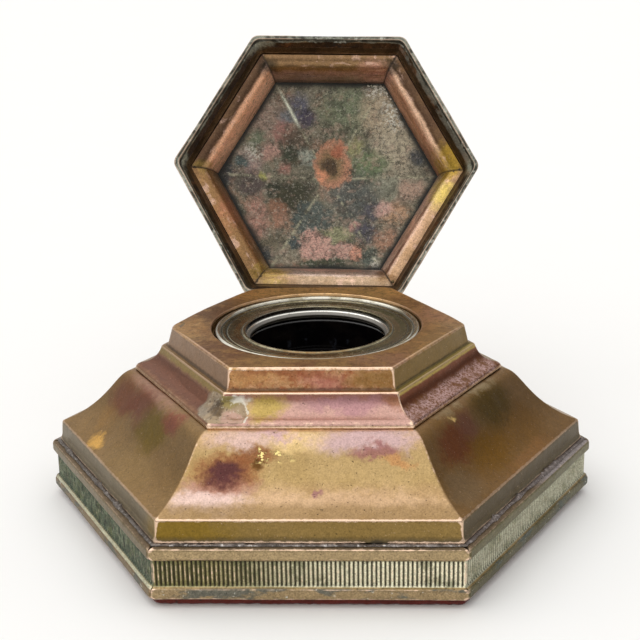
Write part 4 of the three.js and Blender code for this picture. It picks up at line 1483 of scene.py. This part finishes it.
def cove_section():
    """The strip's closed outline, from rim to panel and back outside, and its inside count."""
    inside = trace(
        [
            (COVE_START_R + 0.9, COVE_FOOT),
            (COVE_START_R, COVE_FOOT),
            (40.6, COVE_FOOT + 0.3, COVE_END_R + 0.4, 10, COVE_END_R, COVE_TOP),
        ],
        pitch=0.45,
        fillet=0.15,
    )
    outside = trace(
        [
            (COVE_END_R + 1.1, COVE_TOP),
            (COVE_END_R + 1.5, 10.8, 41.2, COVE_FOOT + 1.4, COVE_START_R - 0.2, COVE_FOOT + 1),
            (COVE_START_R + 0.9, COVE_FOOT + 1),
        ],
        pitch=0.6,
        fillet=0.1,
    )
    return np.concatenate([inside, outside]), len(inside)


def make_coves():
    material = cove_finish()
    section, inside_count = cove_section()
    samples = 90
    half = np.tile(section[:, 0], samples) * FLAT * HALF_SIDE
    outside = np.tile(np.arange(len(section)) >= inside_count, samples).astype(float)
    for side, name in enumerate(SIDE_NAMES):
        strip, x = strip_solid(f"cove_{name}", side, section, samples, crowd=0.35, gap=0.03)
        hand_worn(strip, 111 + side, wave=0.12, ripple=0.03)
        mark_edges(strip, spread=3)
        store(strip, "along", x + 100 * side)
        store(strip, "outside", outside)
        store(strip, "mitre", np.clip(1 - (half - np.abs(x)) / 0.5, 0, 1))
        swing_open(strip)
        fit(strip, "lid", "lid_brass", material, f"lid_cove_{name}")


def paint_outside(finish):
    """The lid's upper side: golden brass with clouds of tarnish and rubbed edges."""
    outside = finish.edge("outside")
    finish.paint(outside, (190, 154, 108), 0.36, 1.0)
    finish.patches(outside, (14, 0.42, 0.62, 10), (158, 124, 82))
    finish.patches(outside, (8, 0.52, 0.68, 12), (150, 104, 80), 0.4, strength=0.5)
    finish.patches(outside, (1.4, 0.54, 0.66, 18), (124, 94, 58), 0.46, strength=0.3)
    rub = finish.both(outside, finish.step(finish.edge("wear"), 0.2, 0.6), finish.clouds(2, 0.4, 0.6, 15))
    finish.paint(rub, WORN, 0.24, 1.0, 0.6)


def panel_spot(x, y, size, colour, strength=0.85):
    """A blotch at a place on the sloping panel; its reach in height covers the slope."""
    across = size if np.ndim(size) else (size, size)
    height = PANEL_FOOT + 5.4 * (1 - math.hypot(x, y) / PANEL_R)
    return (x, y, height), (*across, 9), colour, strength


def paint_panel_left(finish):
    """Blotches on the left of the panel, as it stands open."""
    finish.blotches(
        panel_spot(-21, -20, 7, (150, 128, 114)),
        panel_spot(-26.4, -4.3, 4.4, (162, 140, 134)),
        panel_spot(-24.6, -11.9, 3, (104, 116, 92)),
        panel_spot(-29.6, -4.1, 2, (66, 92, 92)),
        panel_spot(-35.9, -1.1, 4, (40, 50, 58)),
        panel_spot(-10.4, -24.4, 4, (92, 92, 108)),
        panel_spot(-7.3, -20.7, 3.4, (70, 62, 82)),
        panel_spot(-15.3, -20.4, 2.4, (104, 110, 116)),
        panel_spot(-15.2, -15.4, 3.6, (158, 112, 102)),
        panel_spot(-11.5, -12.5, 4.5, (92, 76, 62)),
        panel_spot(-19.6, -8.9, 3, (190, 148, 134)),
        panel_spot(-15, -2.6, 2, (164, 116, 104)),
        panel_spot(-21.1, -0.3, 1.4, (180, 180, 96)),
        panel_spot(-13.3, -7.4, 4, (52, 62, 46)),
        panel_spot(-7.1, -6.5, 3.2, (166, 174, 160), 0.7),
        panel_spot(-26.1, 3, (5.5, 4.5), (78, 64, 64)),
        panel_spot(-11.7, 6.9, 7, (56, 56, 38), 0.95),
        panel_spot(-18.3, 4.1, 2.4, (24, 34, 18)),
        panel_spot(-23.3, 15.3, (3.4, 7), (174, 130, 114)),
        panel_spot(-16.8, 10.6, 3.2, (150, 108, 84)),
        panel_spot(-15.3, 14.8, 3, (162, 120, 98)),
        panel_spot(-18.6, 23.7, (4, 3.2), (116, 108, 88)),
        panel_spot(-20.3, 28.3, 2.4, (44, 52, 60)),
    )


def paint_panel_right(finish):
    """Blotches on the right of the panel, as it stands open."""
    finish.blotches(
        panel_spot(6.1, -23.1, 8, (122, 132, 104)),
        panel_spot(3, -14, 6, (100, 98, 80), 0.7),
        panel_spot(18.3, -22, 7.5, (176, 160, 134)),
        panel_spot(23, -9, 8, (182, 170, 146)),
        panel_spot(14, -4, 5.4, (106, 124, 88)),
        panel_spot(30.8, -6.3, 3, (48, 56, 66)),
        panel_spot(9.9, -11, 3, (166, 162, 112), 0.7),
        panel_spot(9.4, 6.9, 8.5, (84, 88, 84), 0.9),
        panel_spot(21.5, 2.9, 5, (132, 132, 114)),
        panel_spot(28.2, 4.8, 4, (168, 140, 122)),
        panel_spot(14.9, 11.8, 3.2, (80, 76, 86)),
        panel_spot(23.8, 13.1, 4, (178, 142, 112)),
        panel_spot(19.7, 11.3, 2.8, (198, 160, 148)),
        panel_spot(9.6, 16.5, 2, (194, 148, 136)),
        panel_spot(13.7, 19.4, 4, (70, 68, 84)),
        panel_spot(19.9, 21.1, 3.6, (166, 126, 102)),
        panel_spot(15.2, 28, 3.4, (86, 96, 88)),
    )


def paint_panel_foot(finish):
    """Bare salmon copper along the bottom, and the blue-grey above it."""
    salmon = (196, 154, 140)
    finish.blotches(
        panel_spot(-5, 14.4, 6.4, (78, 88, 84), 0.9),
        panel_spot(3, 20, (6, 3), (146, 146, 110)),
        panel_spot(-12.3, 26.9, 4.6, (132, 124, 106)),
        panel_spot(-11.2, 23.4, (3, 2), (58, 76, 80)),
        panel_spot(-3.9, 24, 5.4, salmon, 0.95),
        panel_spot(3, 26.4, (7, 3), salmon, 0.9),
        panel_spot(10, 26.6, (3, 2), (206, 150, 126)),
        panel_spot(-0.8, 31.1, (8, 1.8), (50, 60, 40)),
        soft=0.35,
    )


def panel_finish():
    """Inside of the pyramid: old flux, verdigris, bare copper, a ring of heat stain and a painted shadow
    round its edge.
    """
    finish = Finish("panel_patina", (128, 122, 104), 0.58, 0.45)
    finish.paint(finish.clouds(9, 0.46, 0.64, 1), (100, 98, 80), 0.62, 0.35)
    finish.paint(finish.clouds(6, 0.48, 0.66, 2), (150, 118, 98), 0.5, 0.6, 0.8)
    paint_panel_left(finish)
    paint_panel_right(finish)
    paint_panel_foot(finish)
    hip = finish.both(finish.edge("hip"), finish.clouds(3, 0.42, 0.56, 7))
    finish.paint(hip, (176, 172, 144), strength=0.75)
    finish.paint(finish.clouds(3.4, 0.52, 0.64, 13), (62, 60, 50), 0.7, 0.3, 0.5)
    finish.paint(finish.clouds(3.4, 0.54, 0.66, 14), (172, 146, 128), 0.5, 0.5, 0.45)
    finish.paint(finish.clouds(1.6, 0.52, 0.64, 16), (70, 64, 54), 0.5, 0.5, 0.4)
    finish.paint(finish.clouds(1.0, 0.56, 0.64, 17), (178, 172, 156), 0.5, 0.3, 0.4)
    finish.blotches(panel_spot(1.6, -5, (6.8, 8), (186, 134, 106), 0.95), soft=0.3, ragged=0.35)
    finish.blotches(
        panel_spot(1.0, -4.6, (4.2, 5), (134, 112, 78), 0.9),
        panel_spot(0.4, -4.2, 2.2, (78, 60, 44), 0.9),
        panel_spot(3.4, -9, 2, (170, 96, 70), 0.7),
        panel_spot(-2.6, -1.6, 1.8, (232, 160, 122), 0.7),
        ragged=0.4,
    )
    streak = finish.both(finish.edge("hip"), finish.spot((-13.5, -23, 18), (4, 6, 9)))
    finish.paint(streak, (212, 216, 196), 0.7, 0.1)
    crust = finish.clouds(0.9, 0.46, 0.54, 4)
    crusts = (((17, -30, 16), (5, 2.4, 5)), ((22, -22, 16), (4, 6, 5)), ((16.8, 31, 16), (2, 2, 5)))
    for centre, size in crusts:
        finish.paint(finish.both(finish.spot(centre, size), crust), CHALK, 0.8, 0.1)
    finish.paint(finish.both(finish.spot((-25, -8, 17), (3, 3, 6)), crust), CHALK, 0.8, 0.1, 0.7)
    finish.paint(finish.clouds(0.8, 0.54, 0.64, 5), (54, 52, 42), 0.75, 0.2, 0.35)
    finish.paint(finish.clouds(0.7, 0.58, 0.68, 6), (186, 178, 156), 0.6, None, 0.3)
    ridge = finish.maths("ABSOLUTE", finish.maths("SUBTRACT", finish.noise(2.6, 4.0, 19), 0.5))
    veins = finish.both(finish.step(ridge, 0.008, 0.028, 1.0, 0.0), finish.clouds(7, 0.42, 0.56, 23))
    finish.paint(veins, (40, 40, 32), 0.75, 0.2, 0.65)
    # painted shadow: a dark band round the panel's edge, where it meets the coves
    finish.paint(finish.edge("border"), (28, 30, 28), 0.75, 0.2, 0.95)
    finish.raise_by(finish.noise(0.9, 5.0, 8), 0.10)
    finish.raise_by(finish.noise(4.0, 4.0, 9), 0.30)
    finish.mottle(1.3, 0.1, 30)
    finish.mottle(0.45, 0.22, 31)
    paint_outside(finish)
    return finish.done()


def make_panel():
    outline = trace(
        [
            (0.35, PANEL_TOP - 1.2),
            (COVE_END_R - 0.6, PANEL_FOOT + 0.1),
            (COVE_END_R - 0.2, PANEL_FOOT),
            (PANEL_R - 0.1, PANEL_FOOT),
            (PANEL_R, PANEL_FOOT + 0.15),
            (PANEL_R, PANEL_FOOT + 0.95),
            (PANEL_R - 0.2, PANEL_FOOT + 1.1),
            (COVE_END_R - 0.2, PANEL_FOOT + 1.3),
            (0.35, PANEL_TOP),
        ],
        pitch=0.7,
        fillet=0.15,
    )
    panel = capped_solid("pyramid_panel", hexagon_rings(outline, 0.7, along=44))
    points = places(panel)
    split = int(np.argmax(outline[:, 0] > PANEL_R - 0.05))
    columns = (len(points) - 2) // len(outline)
    outside = np.append((np.repeat(np.arange(len(outline)), columns) >= split).astype(float), [0, 1])
    push(panel, 0.24 * lattice_noise(points, 14, 121) + 0.08 * lattice_noise(points, 3, 122))
    mark_edges(panel, spread=3)
    angle = np.arctan2(points[:, 1], points[:, 0])
    radius = np.hypot(points[:, 0], points[:, 1])
    off = np.abs((angle + TURN / 2) % TURN - TURN / 2) * radius
    store(panel, "hip", np.exp(-((off / 0.45) ** 2)) * (radius > 3))
    apothem = radius * np.cos((angle % TURN) - TURN / 2)
    reach = COVE_END_R * FLAT - apothem - 0.5 * lattice_noise(points, 4, 123)
    # border: a dark band along the panel's edge, a painted shadow at its seam with the coves
    store(panel, "border", np.clip(1.3 - reach / 1.5, 0, 1) * (1 - outside))
    store(panel, "outside", outside)
    swing_open(panel)
    fit(panel, "lid", "panel_brass", panel_finish(), "lid_panel")


def finial_finish():
    finish = old_metal("finial_brass", (200, 164, 114), (154, 120, 74), 0.3)
    roughen(finish)
    weather(finish, wear=0.6)
    return finish.done()


def make_finial():
    seat = PANEL_TOP + 0.3
    outline = trace(
        [
            (0.3, seat),
            (5.4, seat - 0.5),
            (5.8, seat - 0.1),
            (5.5, seat + 0.6),
            (3.2, seat + 1.2),
            (2.2, seat + 1.9, 2, seat + 3, 2.6, seat + 3.8),
            (3.0, seat + 3.9),
            (5.4, seat + 4.8, 5.2, seat + 8.2, 2.6, seat + 9.4),
            (1.5, seat + 9.8),
            (1.5, seat + 10.8, 0.9, seat + 11.5, 0.3, seat + 11.7),
        ],
        pitch=0.3,
        fillet=0.15,
    )
    finial = capped_solid("knob_finial", round_rings(outline, 96))
    push(finial, 0.02 * lattice_noise(places(finial), 3, 131))
    mark_edges(finial, spread=4, gain=0.8)
    swing_open(finial)
    fit(finial, "lid", "finial_brass", finial_finish(), "lid_finial")


def blob(centre, size, seed):
    """Points of one lump of solder: a flattened ball with a rough surface."""
    rings, segments = 10, 16
    tilt = np.linspace(0.15, math.pi - 0.15, rings)
    ball = round_rings(np.column_stack([np.sin(tilt), np.cos(tilt)]), segments).reshape(-1, 3)
    ball = ball * (1 + 0.28 * lattice_noise(ball, 0.45, seed))[:, None]
    return ball * np.array(size) + np.array(centre), rings, segments


def lumps(name, items):
    """One object of separate closed lumps; items are (centre, size) pairs in mm."""
    points, faces = [], []
    for seed, (centre, size) in enumerate(items):
        ball, rings, segments = blob(centre, size, seed)
        start = sum(len(part) for part in points)
        faces += [[start + k for k in face] for face in grid_faces(rings, segments, False, True)]
        faces.append([start + k for k in range(segments)])
        faces.append([start + (rings - 1) * segments + k for k in range(segments)][::-1])
        points.append(ball)
    return make_piece(name, np.concatenate(points), faces)


def dark_solder_finish():
    finish = Finish("burnt_solder", (70, 58, 44), 0.5, 0.7)
    finish.paint(finish.clouds(2, 0.46, 0.6, 1), (112, 96, 64), 0.4, 0.9)
    finish.paint(finish.clouds(0.8, 0.56, 0.66, 2), (26, 22, 18), 0.8, 0.3)
    finish.raise_by(finish.noise(0.6, 4.0, 3), 0.15)
    return finish.done()


def make_lid_solder():
    """Low smears of burnt solder where the cove strips meet."""
    items = []
    dice = np.random.default_rng(7)
    for corner in range(SIDES):
        angle = (corner - 1) * TURN
        along = np.array([math.cos(angle), math.sin(angle), 0])
        across = np.array([-along[1], along[0], 0])
        for radius, height in ((44.0, COVE_FOOT + 0.2), (42.4, COVE_FOOT + 0.75), (41.0, COVE_FOOT + 1.6)):
            centre = along * radius + across * dice.uniform(-0.6, 0.6) + (0, 0, height)
            items.append((centre, dice.uniform(0.35, 0.75, 3) * (1.1, 1.1, 0.6)))
    blobs = lumps("cove_solder", items)
    swing_open(blobs)
    fit(blobs, "lid", "lid_brass", dark_solder_finish())


def make_lid_crust():
    """Pale crust at the panel's top right corner."""
    finish = Finish("pale_crust", CHALK, 0.85, 0.0)
    finish.paint(finish.clouds(0.9, 0.45, 0.6, 1), (150, 150, 130), 0.8)
    finish.raise_by(finish.noise(0.5, 3.0, 2), 0.15)
    dice = np.random.default_rng(8)
    items = []
    corner = np.array([COVE_END_R * math.cos(-TURN), COVE_END_R * math.sin(-TURN), PANEL_FOOT])
    inwards = -corner / np.linalg.norm(corner)
    right_side = np.array([math.cos(TURN), math.sin(TURN), 0])
    top_side = np.array([-1.0, 0, 0])
    for side, count, length in ((right_side, 14, 11), (top_side, 9, 6)):
        for _ in range(count):
            reach = dice.uniform(0, 1) ** 1.5 * length
            place = corner + side * reach + inwards * (0.9 + dice.uniform(0, 0.9)) + (0, 0, 0.15)
            items.append((place, dice.uniform(0.12, 0.4, 3) * (1, 1, 0.6)))
    crust = lumps("panel_crust", items)
    swing_open(crust)
    fit(crust, "lid", "panel_brass", finish.done())


# ---- CAD nodes that keep their own shape -------------------------------------------------------


def dress_node(node, material):
    """Gives a carried-over CAD node its finish and softens its edges."""
    piece = frame["nodes"][node]
    piece.data.materials.clear()
    piece.data.materials.append(material)
    piece.data.shade_smooth()
    bevel = piece.modifiers.new("edge", "BEVEL")
    bevel.width = 0.12 * MM
    bevel.segments = 2
    bevel.limit_method = "ANGLE"
    bevel.harden_normals = True


def iron_finish():
    finish = old_metal("ballast_iron", (96, 94, 92), (70, 62, 56), 0.6, carried=True)
    finish.paint(finish.clouds(5, 0.5, 0.62, 51), (112, 62, 36), 0.85, 0.1)
    roughen(finish)
    return finish.done()


def sleeve_finish():
    finish = old_metal("sleeve_brass", (150, 120, 76), (96, 78, 46), 0.45, carried=True)
    finish.paint(finish.clouds(4, 0.5, 0.64, 53), (52, 42, 30), 0.6, 0.5, 0.7)
    roughen(finish)
    return finish.done()


def cement_finish():
    finish = Finish("collar_plaster", (206, 196, 170), 0.9, 0.0, carried=True)
    finish.paint(finish.clouds(3, 0.5, 0.65, 1), (150, 138, 112), 0.9)
    finish.raise_by(finish.noise(0.6, 4.0, 2), 0.15)
    return finish.done()


def hinge_finish():
    finish = old_metal("hinge_brass", (172, 138, 90), (112, 86, 52), 0.4, carried=True)
    finish.paint(finish.clouds(1.8, 0.56, 0.66, 52), (60, 48, 34), 0.7, 0.5, 0.7)
    roughen(finish)
    return finish.done()


def pin_finish():
    finish = old_metal("pin_steel", (150, 150, 150), (104, 98, 92), 0.34, carried=True)
    roughen(finish)
    return finish.done()


def dress_cad_nodes():
    dress_node("base_board", board_finish())
    dress_node("ballast_weight", iron_finish())
    dress_node("well_sleeve", sleeve_finish())
    dress_node("collar_cement", cement_finish())
    brass = hinge_finish()
    dress_node("hinge_leaf_body", brass)
    dress_node("hinge_leaf_lid", brass)
    dress_node("hinge_pin", pin_finish())


# ---- assembly --------------------------------------------------------------------------------

add_camera()
add_studio()
add_floor()
make_felt()
make_plinth()
make_slope()
make_neck()
make_ledge_solder(solder_finish())
make_collar()
make_pot()
make_rim()
make_coves()
make_panel()
make_finial()
make_lid_solder()
make_lid_crust()
dress_cad_nodes()
